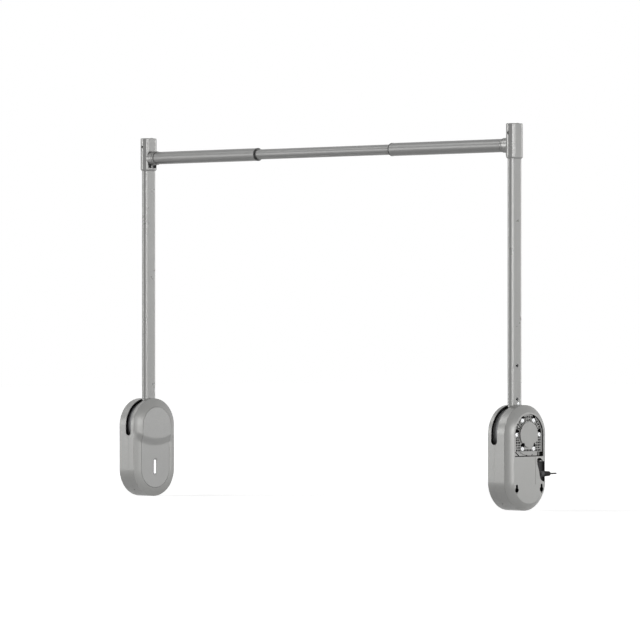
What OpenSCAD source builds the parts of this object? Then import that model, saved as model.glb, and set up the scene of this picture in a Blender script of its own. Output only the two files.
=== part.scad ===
// Pull down closet rod: two motorised wall units, two swinging arms and a telescopic rod between them.
// Origin on the right wall face at the drive axis. X runs to the right, Y to the back, Z up.
// Every unit piece is drawn once, with x = 0 in the middle plane of its arm and +x towards its wall.

/* [Overall] */
// Distance between the two closet walls that carry the units
wall_span = 1283; // [900:1:1380]
// Height of the rod's axis above the drive axis
reach = 635.8; // [450:0.1:900]

/* [Wall unit casing] */
// Radius of the casing's round ends
unit_r = 65; // [63:0.5:75]
// Distance between the centres of the two round ends
unit_drop = 102; // [98:1:130]
// Distance from the wall to the middle plane of the arm
wall_gap = 44.5; // [43:0.5:55]
// Distance from the arm's middle plane to the rear cover's seam
rear_seam = 30.5; // [30:0.5:34]
// Distance from the arm's middle plane to the front cover's seam
front_seam = 18.5; // [18:0.5:24]
// Wall thickness of the shells and covers
shell_wall = 2.5; // [2:0.1:3]
// Thickness of the rear shell's inner bulkhead
bulkhead_t = 3; // [2.5:0.1:4]
// Depth of the bulkhead below the rear seam
bulkhead_sink = 3.5; // [3:0.1:4]
// Width of the slot that the arm swings in
slot_w = 18; // [17.4:0.1:20]
// Clearance behind the arm at the slot's rear end
slot_back_gap = 1; // [0.8:0.1:3]
// Clearance below the lowered arm at the slot's round lower end
slot_low_gap = 4; // [3:0.1:6]

/* [Rear cover] */
// Width of the bevelled rim round the wall face
rim_w = 16; // [14:0.5:18]
// Angle that the bevelled rim curves through
rim_sweep = 25; // [10:1:40]
// Radius of the round-topped window
window_r = 45.5; // [44:0.1:47]
// Depth of the window's straight sides below the drive axis
window_drop = 48; // [46:0.5:52]
// Distance between the two keyholes
key_spacing = 79; // [70:1:84]
// Radius of a keyhole's round entry
key_r = 5.2; // [4.5:0.1:6]
// Width of a keyhole's narrow slot
key_slot_w = 4.8; // [4:0.1:5]
// Distance of the keyholes below the lower round end's centre
key_sink = 18.6; // [10:0.1:24]

/* [Front cover] */
// Width of the bevelled ring round the front panel
ring_w = 20.5; // [18:0.5:22]
// Angle that the ring curves through
ring_sweep = 14; // [6:1:30]
// Height of the lower panel over the seam
panel_low_h = 5.5; // [5:0.1:8]
// Height of the upper panel over the seam
panel_high_h = 11.5; // [11:0.1:16]
// Thickness of the clipped panel
panel_t = 2.2; // [1.8:0.1:2.6]
// Height of the middle of the step below the drive axis
step_sink = 38; // [34:1:50]
// Height of the S-shaped step
step_h = 20; // [12:1:26]
// Radius of the step's bow
step_bow_r = 120; // [90:5:200]
// Length of the light window
light_l = 34; // [26:1:40]
// Width of the light window
light_w = 7; // [5:0.5:9]
// Height of the light window's middle above the lower round end's centre
light_rise = 5; // [0:1:12]

/* [Lattice plate] */
// Radius of the flush centre disc
disc_r = 28; // [26:0.5:29]
// Radius of the circle of plate screws
plate_screw_pitch_r = 35.8; // [35:0.1:36.5]
// Number of plate screws
plate_screws_n = 6; // [6]
// Radius of a plate screw's head
plate_head_r = 4.7; // [4:0.1:4.9]
// Thickness of the lattice's ribs
rib_t = 1.4; // [1:0.1:1.8]
// Depth of the lattice below the wall face
lattice_sink = 3.2; // [2.5:0.1:4.5]

/* [Drive] */
// Width of the hub drum
drum_w = 21; // [20:0.5:22]
// Radius of the fixed pivot shaft
shaft_r = 10; // [8:0.5:10.5]
// Wall thickness of the hub bushes
bush_t = 2.5; // [2:0.1:3]
// Gear module
gear_m = 1.5; // [1.4:0.05:1.5]
// Teeth of the full circle that the sector gear belongs to
sector_teeth = 72; // [72]
// Teeth of the drive pinion
pinion_teeth = 12; // [12]
// Thickness of the gears
gear_t = 5.9; // [5:0.1:6]
// Radius of the motor
motor_r = 19; // [16:0.5:20]

/* [Arm] */
// Width of the arm's flat-oval tube from front to back
arm_w = 37; // [34:0.5:40]
// Thickness of the arm's tube across
arm_d = 16; // [14:0.5:16.4]
// Wall thickness of the arm's tube
arm_wall = 1.5; // [1.2:0.1:2]
// Width of the corner connector from front to back
conn_w = 43; // [41:0.5:46]
// Thickness of the corner connector across
conn_d = 24; // [22:0.5:28]
// Height of the corner connector
conn_h = 77.5; // [70:0.5:90]
// Distance from the rod's axis up to the connector's top
conn_over = 47.7; // [40:0.1:55]
// Radius of the connector's round collar
collar_r = 16.75; // [16.5:0.05:18]

/* [Rod] */
// Radius of the two outer rod tubes
tube_r = 14.75; // [14.5:0.05:15.5]
// Wall thickness of the outer rod tubes
tube_wall = 1.25; // [1:0.05:1.5]
// Radius of the inner rod tube
inner_r = 11.75; // [11:0.05:12]
// Wall thickness of the inner rod tube
inner_wall = 1.3; // [1:0.1:2]
// Length of an outer rod tube
tube_l = 342.5; // [340:0.5:420]
// Length of the inner rod tube
inner_l = 680; // [600:1:682]

/* [Power plug] */
// Radius of the plug's grip sleeve
plug_r = 6.5; // [5.5:0.1:6.6]
// Length of the plug's grip sleeve
plug_sleeve_l = 17.8; // [14:0.1:22]
// Length of the plug's ribbed strain relief
plug_relief_l = 16; // [12:0.5:20]
// Radius of the lead
lead_r = 1.65; // [1.5:0.05:2]
// Length of the lead's moulded tail
lead_l = 20; // [16:1:26]

/* [Hidden] */
$fn = 96;

// Overrun of every cut past the face that it opens
over = 1;
// Gap between clipped casing pieces
clip_gap = 0.2;
// Running clearance of the shaft in its bushes
running = 0.04;
// Slack of a shank in its through hole
shank_slack = 0.4;

// Casing, derived
inner_shell_r = unit_r - shell_wall;
rim_h = wall_gap - rear_seam;
flat_r = unit_r - rim_w;
bulkhead_back = rear_seam - bulkhead_sink;
bulkhead_front = bulkhead_back - bulkhead_t;
slot_low = arm_w / 2 + slot_low_gap;
slot_back = arm_w / 2 + slot_back_gap;
cover_inner = wall_gap - shell_wall;

// Casing screws and their bosses
boss_r = 5;
casing_screw_r = 1.5;
casing_head_r = 3.4;
casing_head_h = 2.2;
boss_inset = 4.6;
boss_top_sink = 45;
boss_low_angle = 45;
boss_front_cut = 2.5;
boss_ways = [
    [inner_shell_r - boss_inset, -boss_top_sink],
    [boss_inset - inner_shell_r, -boss_top_sink],
    (inner_shell_r - boss_inset) * [sin(boss_low_angle), -cos(boss_low_angle)] - [0, unit_drop],
    (inner_shell_r - boss_inset) * [-sin(boss_low_angle), -cos(boss_low_angle)] - [0, unit_drop]
];

// Pin hole at the casing's lower front
pin_hole_r = 1.4;
pin_hole_x = 4;
pin_hole_angle = 50;

// Rear cover openings
key_tip_w = 2;
key_rise = 11.6;
key_tip_drop = 8.6;
key_z = -unit_drop - key_sink;
notch_top = -51.5;
notch_low = -103.5;
notch_in = 25;
notch_mid = [33, -87];
notch_foot = 38.5;
notch_round = 4;
tab_z = -58;
tab_t = 2;
tab_in = 36;
tab_w = 14;
groove_y = 20;
groove_w = 0.8;
groove_d = 0.5;
groove_low = -109;
groove_gap = 1.5;

// Front cover, derived
panel_r = unit_r - ring_w;
panel_gap = 0.35;
floor_t = 2;
floor_sink = panel_t + clip_gap + floor_t;
step_turns = 10;
light_z = light_rise - unit_drop;
light_border = 1.6;
light_sink = 1.2;
light_clear = 0.1;
board_t = 1.6;
light_board_w = 15;
light_board_l = 46;

// Drive, derived
drum_gap = 4.5;
drum_r = inner_shell_r - drum_gap;
drum_rim_t = 3;
drum_web_t = 6;
bush_flange_t = 1.5;
bush_flange_w = 3;
bush_l = 12;
bush_end_gap = 0.4;
bush_r = shaft_r + bush_t;
bush_flange_r = bush_r + bush_flange_w;
hub_wall = 9;
hub_r = bush_r + hub_wall;
hub_back = bulkhead_front - bush_end_gap - bush_flange_t;
shaft_sink = 1;
shaft_front = front_seam + panel_high_h - floor_sink - shaft_sink;
shaft_back = bulkhead_back + bulkhead_sink;
boss_gap = 0.5;
front_boss_end = drum_w / 2 + bush_flange_t + boss_gap;
pitch_r = gear_m * sector_teeth / 2;
pinion_pitch_r = gear_m * pinion_teeth / 2;
gear_axis_gap = 0.1;
pinion_z = -(pitch_r + pinion_pitch_r + gear_axis_gap);
pressure = 25;
backlash = 0.2;
dedendum_share = 1.25;
flank_steps = 4;
sector_first = -2;
sector_last = 20;
sector_bore_gap = 1;
pinion_shaft_r = 4;
pinion_shaft_gap = 0.04;
gear_front = drum_w / 2 + clip_gap;
gearhead_front = drum_w / 2 + over;
gearhead_r = 20;
gearhead_pitch = 36;
gearhead_bore_l = 9;
motor_l = 27;
motor_cap_r = 5;
motor_cap_t = 1;
motor_z = pinion_z - gearhead_pitch;

// Control board and its posts
control_w = 48;
control_h = 31;
control_sink = 22.5;
control_x = 9;
control_mid_z = -unit_drop - control_sink - control_h / 2;
post_r = 3;
post_inset = 4;
chip_w = 14;
chip_h = 9;
chip_t = 2.4;
coil_r = 5;
coil_t = 9;

// Lattice plate, derived
plate_r = window_r - clip_gap;
plate_low = -window_drop + clip_gap;
lattice_top = wall_gap - lattice_sink;
cell_depth = 8;
cell_floor = lattice_top - cell_depth;
ladder_h = 10;
ladder_ribs_n = 9;
ladder_sink = 2.4;
lattice_low = plate_low + ladder_h;
rim_rib = 3.6;
ring_in = disc_r + rib_t;
ring_out = plate_r - rim_rib;
ring_mid_share = 0.42;
ring_mid = ring_in + (ring_out - ring_in) * ring_mid_share;
ring_cells_n = 18;
grid_pitch_y = 5;
grid_pitch_z = 5.6;
grid_rows_n = 6;
grid_cols_n = 9;
plate_head_h = 2.4;
plate_screw_r = 2;
pocket_tip = 12.5;
pocket_side_share = 0.92;
pocket_gap = 0.7;
pocket_r = plate_head_r + pocket_gap;
pillar_r = plate_head_r - pocket_gap;

// Arm, derived
conn_low = reach + conn_over - conn_h;
conn_top = reach + conn_over;
arm_foot_gap = 1.5;
arm_foot = drum_r + arm_foot_gap;
arm_top_gap = 10;
arm_top = conn_top - arm_top_gap;
lever_slack = 0.2;
lever_foot = 25;
lever_top = 165;
lever_w = arm_w - 2 * arm_wall - 2 * lever_slack;
lever_d = arm_d - 2 * arm_wall - 2 * lever_slack;
socket_wall = 2.5;
arm_hole_r = 2.7;
set_screw_r = 2.3;
set_screw_l = 8;
set_screw_sink = 2.5;
arm_hole_low = 77;
arm_hole_pitch = 74;
pan_z = 69.7;
pan_y = 3.5;
pan_r = 3.2;
pan_h = 0.8;
pan_shank_r = 1.8;
pan_shank_l = 6;
conn_low_round = 4;
conn_low_in = 3;
conn_low_sweep = 50;
conn_top_round = 2;
conn_hole_r = 2.5;
conn_hole_drop = 21;
top_screw_y = 9;
top_screw_r = 4.5;
top_screw_h = 1.4;
top_screw_shank_r = 2;
top_screw_shank_l = 8;

// Rod joint, derived
collar_end = 26;
stub_r = 9;
stub_slack = 0.1;
stub_tip_gap = 0.5;
conn_crest = conn_d / 2;
clip_x = 12.6;
clip_w = 5.4;
clip_t = 2.2;
clip_leg_y = 8;
clip_under = 6.5;
clip_bow_z = 10.6;
clip_bow_t = 2.4;
clip_slack = 0.2;
flange_near = 27;
flange_t = 4;
flange_r = 16.5;
neck_r = 14;
tube_near = 33.5;
tube_bore_r = tube_r - tube_wall;
spigot_slack = 0.05;
spigot_l = 20;
tube_end = tube_near + tube_l;
bush_collar_t = 3;
bush_collar_over = 0.35;
sleeve_l = 26;
sleeve_slack = 0.06;
flute_r = 1.6;
flute_depth = 0.45;
flutes_n = 4;
flute_turn = 40;

// Plug and socket, derived
plug_wall_gap = 0.8;
plug_x = wall_gap - plug_wall_gap - plug_r;
plug_z = -87;
plug_y = 40.8;
socket_w = 15;
socket_h = 20;
socket_cover_gap = 0.5;
plug_edge_t = 1.5;
plug_edge_r = 6.1;
relief_r = 5.5;
relief_tip_r = 3.2;
relief_tip_l = 4;
relief_rings_n = 4;
relief_groove_d = 0.7;
relief_start = plug_y + plug_sleeve_l;
relief_end = relief_start + plug_relief_l;
relief_pitch = (plug_relief_l - relief_tip_l) / relief_rings_n;
jack_r = 2.75;
jack_l = 9;

// Colours
silver_grey = [0.63, 0.63, 0.62];
panel_grey = [0.65, 0.65, 0.64];
drum_grey = [0.33, 0.34, 0.34];
steel_grey = [0.55, 0.56, 0.57];
zinc_white = [0.9, 0.9, 0.9];
soft_black = [0.08, 0.08, 0.08];
board_green = [0.1, 0.3, 0.2];
lamp_white = [1, 1, 1];
bronze = [0.6, 0.45, 0.25];

// Points from p to q along an arc that bulges away from the profile's inside
function bulge(p, q, sweep, n = 8) =
    let (d = q - p)
    let (c = norm(d))
    let (r = c / 2 / sin(sweep / 2))
    let (k = (p + q) / 2 - [d[1], -d[0]] / c * r * cos(sweep / 2))
    let (a = atan2(p[1] - k[1], p[0] - k[0]))
    [for (i = [0:n]) k + r * [cos(a + sweep * i / n), sin(a + sweep * i / n)]];

// Flat-oval solid about Z: a profile of [radius, height] points swept round a slot of the given length
module oval_body(pts, gap) {
    for (side = [-1, 1])
        translate([side * gap / 2, 0, 0])
            rotate(-side * 90)
                rotate_extrude(angle = 180)
                    polygon(pts);
    back = [for (i = [len(pts) - 1:-1:0]) if (pts[i][0] > 0) [-pts[i][0], pts[i][1]]];
    translate([-gap / 2, 0, 0])
        rotate([90, 0, 90])
            linear_extrude(gap)
                polygon(concat(pts, back));
}

// Outline in the YZ plane, extruded along x
module along_x(x0, x1) {
    translate([x0, 0, 0])
        rotate([90, 0, 90])
            linear_extrude(x1 - x0)
                children();
}

// Round bar along x
module bar_x(x0, x1, r, y = 0, z = 0) {
    translate([x0, y, z])
        rotate([0, 90, 0])
            cylinder(h = x1 - x0, r = r);
}

// Round bar along y
module bar_y(y0, y1, r, x = 0, z = 0) {
    translate([x, y0, z])
        rotate([-90, 0, 0])
            cylinder(h = y1 - y0, r = r);
}

// Long outline of the casing, in the YZ plane
module casing_outline(r) {
    circle(r);
    translate([0, -unit_drop])
        circle(r);
    translate([-r, -unit_drop])
        square([2 * r, unit_drop]);
}

// Long-oval outline, w wide in y and h high in z
module slot_outline(w, h) {
    for (side = [-1, 1])
        translate([0, side * (h - w) / 2])
            circle(w / 2);
    translate([-w / 2, -(h - w) / 2])
        square([w, h - w]);
}

// Flat-oval bar along z, w wide in y and d across in x
module oval_bar(w, d, z0, z1) {
    translate([0, 0, z0])
        linear_extrude(z1 - z0) {
            for (side = [-1, 1])
                translate([0, side * (w - d) / 2])
                    circle(d / 2);
            translate([-d / 2, -(w - d) / 2])
                square([d, w - d]);
        }
}

// Slot for the arm, cut through the casing's band
module arm_slot() {
    translate([-slot_w / 2, -unit_r - over, slot_w / 2 - slot_low])
        cube([slot_w, unit_r + over + slot_back, unit_r + over - slot_w / 2 + slot_low]);
    bar_y(-unit_r - over, -unit_r + shell_wall + over, slot_w / 2, 0, slot_w / 2 - slot_low);
}

// Band of the casing between two planes, open towards the arm's slot
module casing_band(x0, x1) {
    difference() {
        along_x(x0, x1)
            difference() {
                casing_outline(unit_r);
                casing_outline(inner_shell_r);
            }
        arm_slot();
    }
}

// Places of the screw bosses
module at_bosses() {
    for (way = boss_ways)
        translate([0, way[0], way[1]])
            children();
}

// Rear half of the band with the bulkhead that carries the drive
module rear_shell() {
    color(silver_grey)
        difference() {
            union() {
                casing_band(0, rear_seam);
                along_x(bulkhead_front, bulkhead_back)
                    casing_outline(inner_shell_r + shell_wall / 2);
                at_bosses()
                    bar_x(0, bulkhead_front + over, boss_r);
                translate([bulkhead_back - over, tab_in, tab_z - tab_t / 2])
                    cube([cover_inner + over - bulkhead_back, tab_w, tab_t]);
                for (side_y = [-1, 1], side_z = [-1, 1])
                    bar_x(control_x + board_t, bulkhead_front + over, post_r,
                        side_y * (control_w / 2 - post_inset),
                        control_mid_z + side_z * (control_h / 2 - post_inset));
            }
            bar_x(bulkhead_front - over, bulkhead_back + over, shaft_r + running);
            at_bosses()
                bar_x(-over, bulkhead_back + over, casing_screw_r + shank_slack);
            for (turn = [0:plate_screws_n - 1])
                bar_x(bulkhead_front - over, bulkhead_back + over, plate_screw_r,
                    plate_screw_pitch_r * cos(turn * 360 / plate_screws_n),
                    plate_screw_pitch_r * sin(turn * 360 / plate_screws_n));
            translate([pin_hole_x, 0, -unit_drop])
                rotate([90 + pin_hole_angle, 0, 0])
                    translate([0, 0, inner_shell_r - over])
                        cylinder(h = shell_wall + 2 * over, r = pin_hole_r);
        }
}

// Front half of the band with the screw bosses
module front_shell() {
    color(silver_grey)
        difference() {
            union() {
                casing_band(-front_seam, 0);
                at_bosses()
                    bar_x(boss_front_cut - front_seam, 0, boss_r);
            }
            at_bosses()
                bar_x(boss_front_cut + shell_wall - front_seam, over, casing_screw_r);
        }
}

// Screws that pull the two shells together
module casing_screws() {
    color(zinc_white)
        at_bosses() {
            bar_x(boss_front_cut + shell_wall + over - front_seam, bulkhead_back + over, casing_screw_r);
            bar_x(bulkhead_back, bulkhead_back + casing_head_h, casing_head_r);
        }
}

// Window of the rear cover, round at the top
module window_outline(r, low) {
    circle(r);
    translate([-r, low])
        square([2 * r, -low]);
}

// Keyhole with its narrow slot upwards
module keyhole_outline() {
    circle(key_r);
    translate([-key_slot_w / 2, 0])
        square([key_slot_w, key_rise - key_slot_w / 2]);
    translate([0, key_rise - key_slot_w / 2])
        circle(key_slot_w / 2);
    translate([-key_tip_w / 2, -key_tip_drop])
        square([key_tip_w, key_tip_drop]);
}

// Notch for the power plug, open to the cover's rear edge
module notch_outline() {
    translate([notch_in + notch_round, notch_top - notch_round])
        circle(notch_round);
    polygon([
        [notch_in + notch_round, notch_top],
        [unit_r + over, notch_top],
        [unit_r + over, notch_low],
        [notch_foot, notch_low],
        notch_mid,
        [notch_in, notch_top - notch_round]
    ]);
}

// Curved solid of the rear cover: inset 0 is the outer skin
function rear_profile(inset) =
    let (arc = bulge([unit_r - inset, 0], [flat_r - inset / 2, rim_h - inset], rim_sweep))
    concat([[0, 0]], arc, [[0, rim_h - inset]]);

// Rear cover with its bevelled rim, flat wall face, window, keyholes and plug notch
module rear_cover() {
    color(silver_grey)
        difference() {
            translate([rear_seam, 0, -unit_drop / 2])
                rotate([0, 90, 0])
                    oval_body(rear_profile(0), unit_drop);
            translate([rear_seam, 0, -unit_drop / 2])
                rotate([0, 90, 0])
                    oval_body(rear_profile(shell_wall), unit_drop);
            along_x(rear_seam, wall_gap + over)
                window_outline(window_r, -window_drop);
            for (side = [-1, 1])
                translate([0, side * key_spacing / 2, key_z])
                    along_x(cover_inner - over, wall_gap + over)
                        keyhole_outline();
            along_x(rear_seam - over, wall_gap + over)
                notch_outline();
            translate([wall_gap - groove_d, groove_y - groove_w / 2, groove_low])
                cube([groove_d + over, groove_w, -window_drop - groove_gap - groove_low]);
        }
}

// Profile of the front cover's curved skin at a panel height
function front_profile(h) =
    concat([[0, 0]], bulge([unit_r, 0], [panel_r, h], ring_sweep), [[0, h]]);

// Surface of revolution that steps down in an S from the high to the low panel
function step_profile() =
    let (foot = panel_low_h / 2)
    let (rise = panel_high_h + over - foot)
    concat(
        [[0, 0], [step_bow_r + step_h, 0], [step_bow_r + step_h, foot]],
        [for (i = [step_turns:-1:0])
            [step_bow_r + step_h * (i / step_turns - 1 / 2),
             foot + rise * (1 + cos(180 * i / step_turns)) / 2]],
        [[0, foot + rise]]
    );

// Solid of the stepped front: a low skin, and a high skin above the bowed step
module front_form() {
    translate([-front_seam, 0, -unit_drop / 2])
        rotate([0, -90, 0])
            oval_body(front_profile(panel_low_h), unit_drop);
    intersection() {
        translate([-front_seam, 0, -unit_drop / 2])
            rotate([0, -90, 0])
                oval_body(front_profile(panel_high_h), unit_drop);
        translate([-front_seam, 0, step_bow_r - step_sink])
            rotate([0, -90, 0])
                rotate_extrude()
                    polygon(step_profile());
    }
}

// Outline of the front panel, with a gap added all round
module panel_prism(gap) {
    along_x(-front_seam - panel_high_h - 2 * over, 0)
        casing_outline(panel_r + gap);
}

// Front cover: bevelled ring with the floor that the panel clips on, and the shaft's front boss
module front_cover() {
    color(silver_grey)
        difference() {
            union() {
                difference() {
                    front_form();
                    difference() {
                        panel_prism(panel_gap);
                        translate([panel_t + clip_gap, 0, 0])
                            front_form();
                    }
                    intersection() {
                        translate([floor_sink, 0, 0])
                            front_form();
                        along_x(-front_seam - panel_high_h, over)
                            casing_outline(inner_shell_r);
                    }
                }
                bar_x(-shaft_front - shaft_sink - over, -front_boss_end, shaft_r + shell_wall);
            }
            bar_x(-shaft_front - shaft_sink, over, shaft_r + running);
            translate([0, 0, light_z])
                along_x(-front_seam - panel_low_h - over, over)
                    slot_outline(light_w, light_l);
        }
}

// Clipped front panel with its bowed step and the light's recess
module front_panel() {
    color(panel_grey)
        difference() {
            intersection() {
                front_form();
                panel_prism(0);
            }
            translate([panel_t, 0, 0])
                front_form();
            translate([0, 0, light_z])
                along_x(-front_seam - panel_low_h - over, over)
                    slot_outline(light_w, light_l);
            translate([0, 0, light_z])
                along_x(-front_seam - panel_low_h - over, light_sink - front_seam - panel_low_h)
                    slot_outline(light_w + 2 * light_border, light_l + 2 * light_border);
        }
}

// Clear window of the light
module light_window() {
    color(lamp_white)
        translate([0, 0, light_z])
            along_x(light_sink - front_seam - panel_low_h, floor_sink - front_seam - panel_low_h)
                slot_outline(light_w - 2 * light_clear, light_l - 2 * light_clear);
}

// Small lamp board behind the window
module light_board() {
    color(board_green)
        translate([floor_sink - front_seam - panel_low_h, -light_board_w / 2, light_z - light_board_l / 2])
            cube([board_t, light_board_w, light_board_l]);
}

// Teardrop pocket above a plate screw
module pocket_outline(r) {
    circle(r);
    polygon([[-r * pocket_side_share, 0], [r * pocket_side_share, 0], [0, pocket_tip]]);
}

// Places of the plate screws
module at_plate_screws() {
    for (turn = [0:plate_screws_n - 1])
        translate(plate_screw_pitch_r * [cos(turn * 360 / plate_screws_n), sin(turn * 360 / plate_screws_n)])
            children();
}

// Sector of a ring between two angles, in the YZ plane
module ring_cell(r0, r1, a0, a1) {
    polygon(concat(
        [for (i = [0:3]) r1 * [cos(a0 + (a1 - a0) * i / 3), sin(a0 + (a1 - a0) * i / 3)]],
        [for (i = [3:-1:0]) r0 * [cos(a0 + (a1 - a0) * i / 3), sin(a0 + (a1 - a0) * i / 3)]]
    ));
}

// Open cells of the lattice: two arcs of cells above the axis and a square grid below it
module lattice_cells() {
    difference() {
        union() {
            for (i = [0:ring_cells_n - 1], row = [0, 1]) {
                r0 = row == 0 ? ring_in : ring_mid + rib_t;
                r1 = row == 0 ? ring_mid : ring_out;
                half_rib = asin(rib_t / 2 / r0);
                ring_cell(r0, r1, 180 / ring_cells_n * i + half_rib, 180 / ring_cells_n * (i + 1) - half_rib);
            }
            for (row = [0:grid_rows_n - 1], col = [-grid_cols_n:grid_cols_n - 1]) {
                y0 = col * grid_pitch_y + rib_t / 2;
                z0 = lattice_low + rib_t + row * grid_pitch_z;
                reach_y = max(abs(y0), abs(y0 + grid_pitch_y - rib_t));
                near_y = min(abs(y0), abs(y0 + grid_pitch_y - rib_t));
                clear_disc = norm([near_y, z0 + grid_pitch_z - rib_t]) > ring_in;
                if (reach_y < ring_out && clear_disc && z0 + grid_pitch_z < rib_t)
                    translate([y0, z0])
                        square([grid_pitch_y - rib_t, grid_pitch_z - rib_t]);
            }
        }
        at_plate_screws()
            pocket_outline(pocket_r + rib_t / 2);
    }
}

// Ribbed gearbox plate behind the window, with its flush disc and screw pockets
module lattice_plate() {
    color(silver_grey) {
        difference() {
            union() {
                along_x(bulkhead_back, cell_floor)
                    window_outline(plate_r, plate_low);
                difference() {
                    along_x(cell_floor, lattice_top)
                        difference() {
                            window_outline(plate_r, lattice_low);
                            lattice_cells();
                        }
                    along_x(cell_floor, lattice_top + over)
                        difference() {
                            at_plate_screws()
                                pocket_outline(pocket_r);
                            at_plate_screws()
                                circle(pillar_r);
                        }
                    along_x(lattice_top - plate_head_h, lattice_top + over)
                        at_plate_screws()
                            circle(pillar_r + over);
                }
                along_x(cell_floor, lattice_top - ladder_sink)
                    for (i = [0:ladder_ribs_n - 1])
                        translate([-plate_r + (2 * plate_r - rib_t) * i / (ladder_ribs_n - 1), plate_low])
                            square([rib_t, ladder_h + over]);
                difference() {
                    bar_x(bulkhead_back, wall_gap, disc_r);
                    along_x(cell_floor, wall_gap + over)
                        at_plate_screws()
                            pocket_outline(pocket_r);
                }
            }
            bar_x(bulkhead_back - over, shaft_back, shaft_r + running);
            along_x(bulkhead_back - over, lattice_top)
                at_plate_screws()
                    circle(plate_screw_r + shank_slack / 2);
        }
    }
}

// Screws of the lattice plate, with a small recess in each head
module plate_screws() {
    color(zinc_white)
        for (turn = [0:plate_screws_n - 1])
            translate([0, plate_screw_pitch_r * cos(turn * 360 / plate_screws_n),
                plate_screw_pitch_r * sin(turn * 360 / plate_screws_n)])
                difference() {
                    union() {
                        bar_x(bulkhead_front, lattice_top - plate_head_h, plate_screw_r);
                        bar_x(lattice_top - plate_head_h, lattice_top, plate_head_r);
                    }
                    bar_x(lattice_top - plate_head_h / 2, lattice_top + over, plate_head_r / 4);
                }
}

// Fixed steel shaft that the hub turns on
module pivot_shaft() {
    color(steel_grey)
        bar_x(-shaft_front, shaft_back, shaft_r);
}

// Hub drum: rim, web, hub and the socket that holds the lever
module hub_drum() {
    color(drum_grey)
        difference() {
            union() {
                difference() {
                    bar_x(-drum_w / 2, drum_w / 2, drum_r);
                    bar_x(-drum_w / 2 - over, drum_w / 2 + over, drum_r - drum_rim_t);
                }
                bar_x(-drum_web_t / 2, drum_web_t / 2, drum_r - drum_rim_t / 2);
                bar_x(-drum_w / 2, hub_back, hub_r);
                oval_bar(lever_w + 2 * socket_wall, lever_d + 2 * socket_wall, 0, drum_r - drum_rim_t);
            }
            bar_x(-drum_w / 2 - over, hub_back + over, bush_r);
            oval_bar(lever_w + 2 * lever_slack, lever_d + 2 * lever_slack, lever_foot, drum_r + over);
        }
}

// Two flanged bushes pressed in the hub
module hub_bushes() {
    color(bronze)
        difference() {
            union() {
                bar_x(-drum_w / 2, bush_l - drum_w / 2, bush_r);
                bar_x(-drum_w / 2 - bush_flange_t, -drum_w / 2, bush_flange_r);
                bar_x(hub_back - bush_l, hub_back, bush_r);
                bar_x(hub_back, hub_back + bush_flange_t, bush_flange_r);
            }
            bar_x(-drum_w, hub_back + bush_flange_t + over, shaft_r + running);
        }
}

// Half of a tooth's angle at radius r, for a gear of z teeth
function inv(a) = tan(a) * 180 / PI - a;
function half_tooth(z, r) =
    let (rb = gear_m * z / 2 * cos(pressure))
    90 / z - backlash / 4 / (gear_m * z / 2) * 180 / PI + inv(pressure) - inv(acos(min(1, rb / r)));

// One tooth that points along +z, from below the root to the tip
module tooth(z) {
    rp = gear_m * z / 2;
    rb = rp * cos(pressure);
    root = rp - gear_m * dedendum_share;
    foot = max(root, rb);
    tip = rp + gear_m;
    radii = concat([root - gear_m / 2], [for (i = [0:flank_steps]) foot + (tip - foot) * i / flank_steps]);
    polygon(concat(
        [for (r = radii) r * [sin(half_tooth(z, max(r, foot))), cos(half_tooth(z, max(r, foot)))]],
        [for (i = [len(radii) - 1:-1:0])
            radii[i] * [-sin(half_tooth(z, max(radii[i], foot))), cos(half_tooth(z, max(radii[i], foot)))]]
    ));
}

// Toothed sector on the drum's front face
module sector_gear() {
    color(steel_grey)
        difference() {
            along_x(-gear_front - gear_t, -gear_front) {
                circle(pitch_r - gear_m * dedendum_share);
                for (i = [sector_first:sector_last])
                    rotate(180 - i * 360 / sector_teeth)
                        tooth(sector_teeth);
            }
            bar_x(-gear_front - gear_t - over, over - gear_front, bush_flange_r + sector_bore_gap);
        }
}

// Drive pinion with its shaft into the gearhead
module drive_pinion() {
    color(steel_grey)
        translate([0, 0, pinion_z]) {
            along_x(-gear_front - gear_t, -gear_front) {
                circle(pinion_pitch_r - gear_m * dedendum_share);
                for (i = [0:pinion_teeth - 1])
                    rotate((i + 1 / 2) * 360 / pinion_teeth)
                        tooth(pinion_teeth);
            }
            bar_x(-gear_front, gearhead_front + gearhead_bore_l - over, pinion_shaft_r);
        }
}

// Closed reduction gearhead on the bulkhead
module gearhead() {
    color(steel_grey)
        difference() {
            along_x(gearhead_front, bulkhead_front) {
                translate([0, pinion_z])
                    circle(gearhead_r);
                translate([0, motor_z])
                    circle(gearhead_r);
                translate([-gearhead_r, motor_z])
                    square([2 * gearhead_r, gearhead_pitch]);
            }
            bar_x(gearhead_front - over, gearhead_front + gearhead_bore_l,
                pinion_shaft_r + pinion_shaft_gap, 0, pinion_z);
        }
}

// Motor on the gearhead
module motor() {
    color(steel_grey) {
        bar_x(gearhead_front - motor_l, gearhead_front, motor_r, 0, motor_z);
        bar_x(gearhead_front - motor_l - motor_cap_t, gearhead_front - motor_l, motor_cap_r, 0, motor_z);
    }
}

// Control board with a chip and a coil
module control_board() {
    color(board_green) {
        translate([control_x, -control_w / 2, control_mid_z - control_h / 2])
            cube([board_t, control_w, control_h]);
        translate([control_x - chip_t, -chip_w, control_mid_z - chip_h / 2])
            cube([chip_t, chip_w, chip_h]);
        bar_x(control_x - coil_t, control_x, coil_r, chip_w, control_mid_z);
    }
}

// Socket block in the notch that takes the power plug
module power_socket() {
    color(soft_black)
        difference() {
            translate([bulkhead_back, plug_y - socket_w, plug_z - socket_h / 2])
                cube([cover_inner - socket_cover_gap - bulkhead_back, socket_w, socket_h]);
            bar_y(plug_y - jack_l - over, plug_y + over, jack_r + clip_gap, plug_x, plug_z);
        }
}

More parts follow.
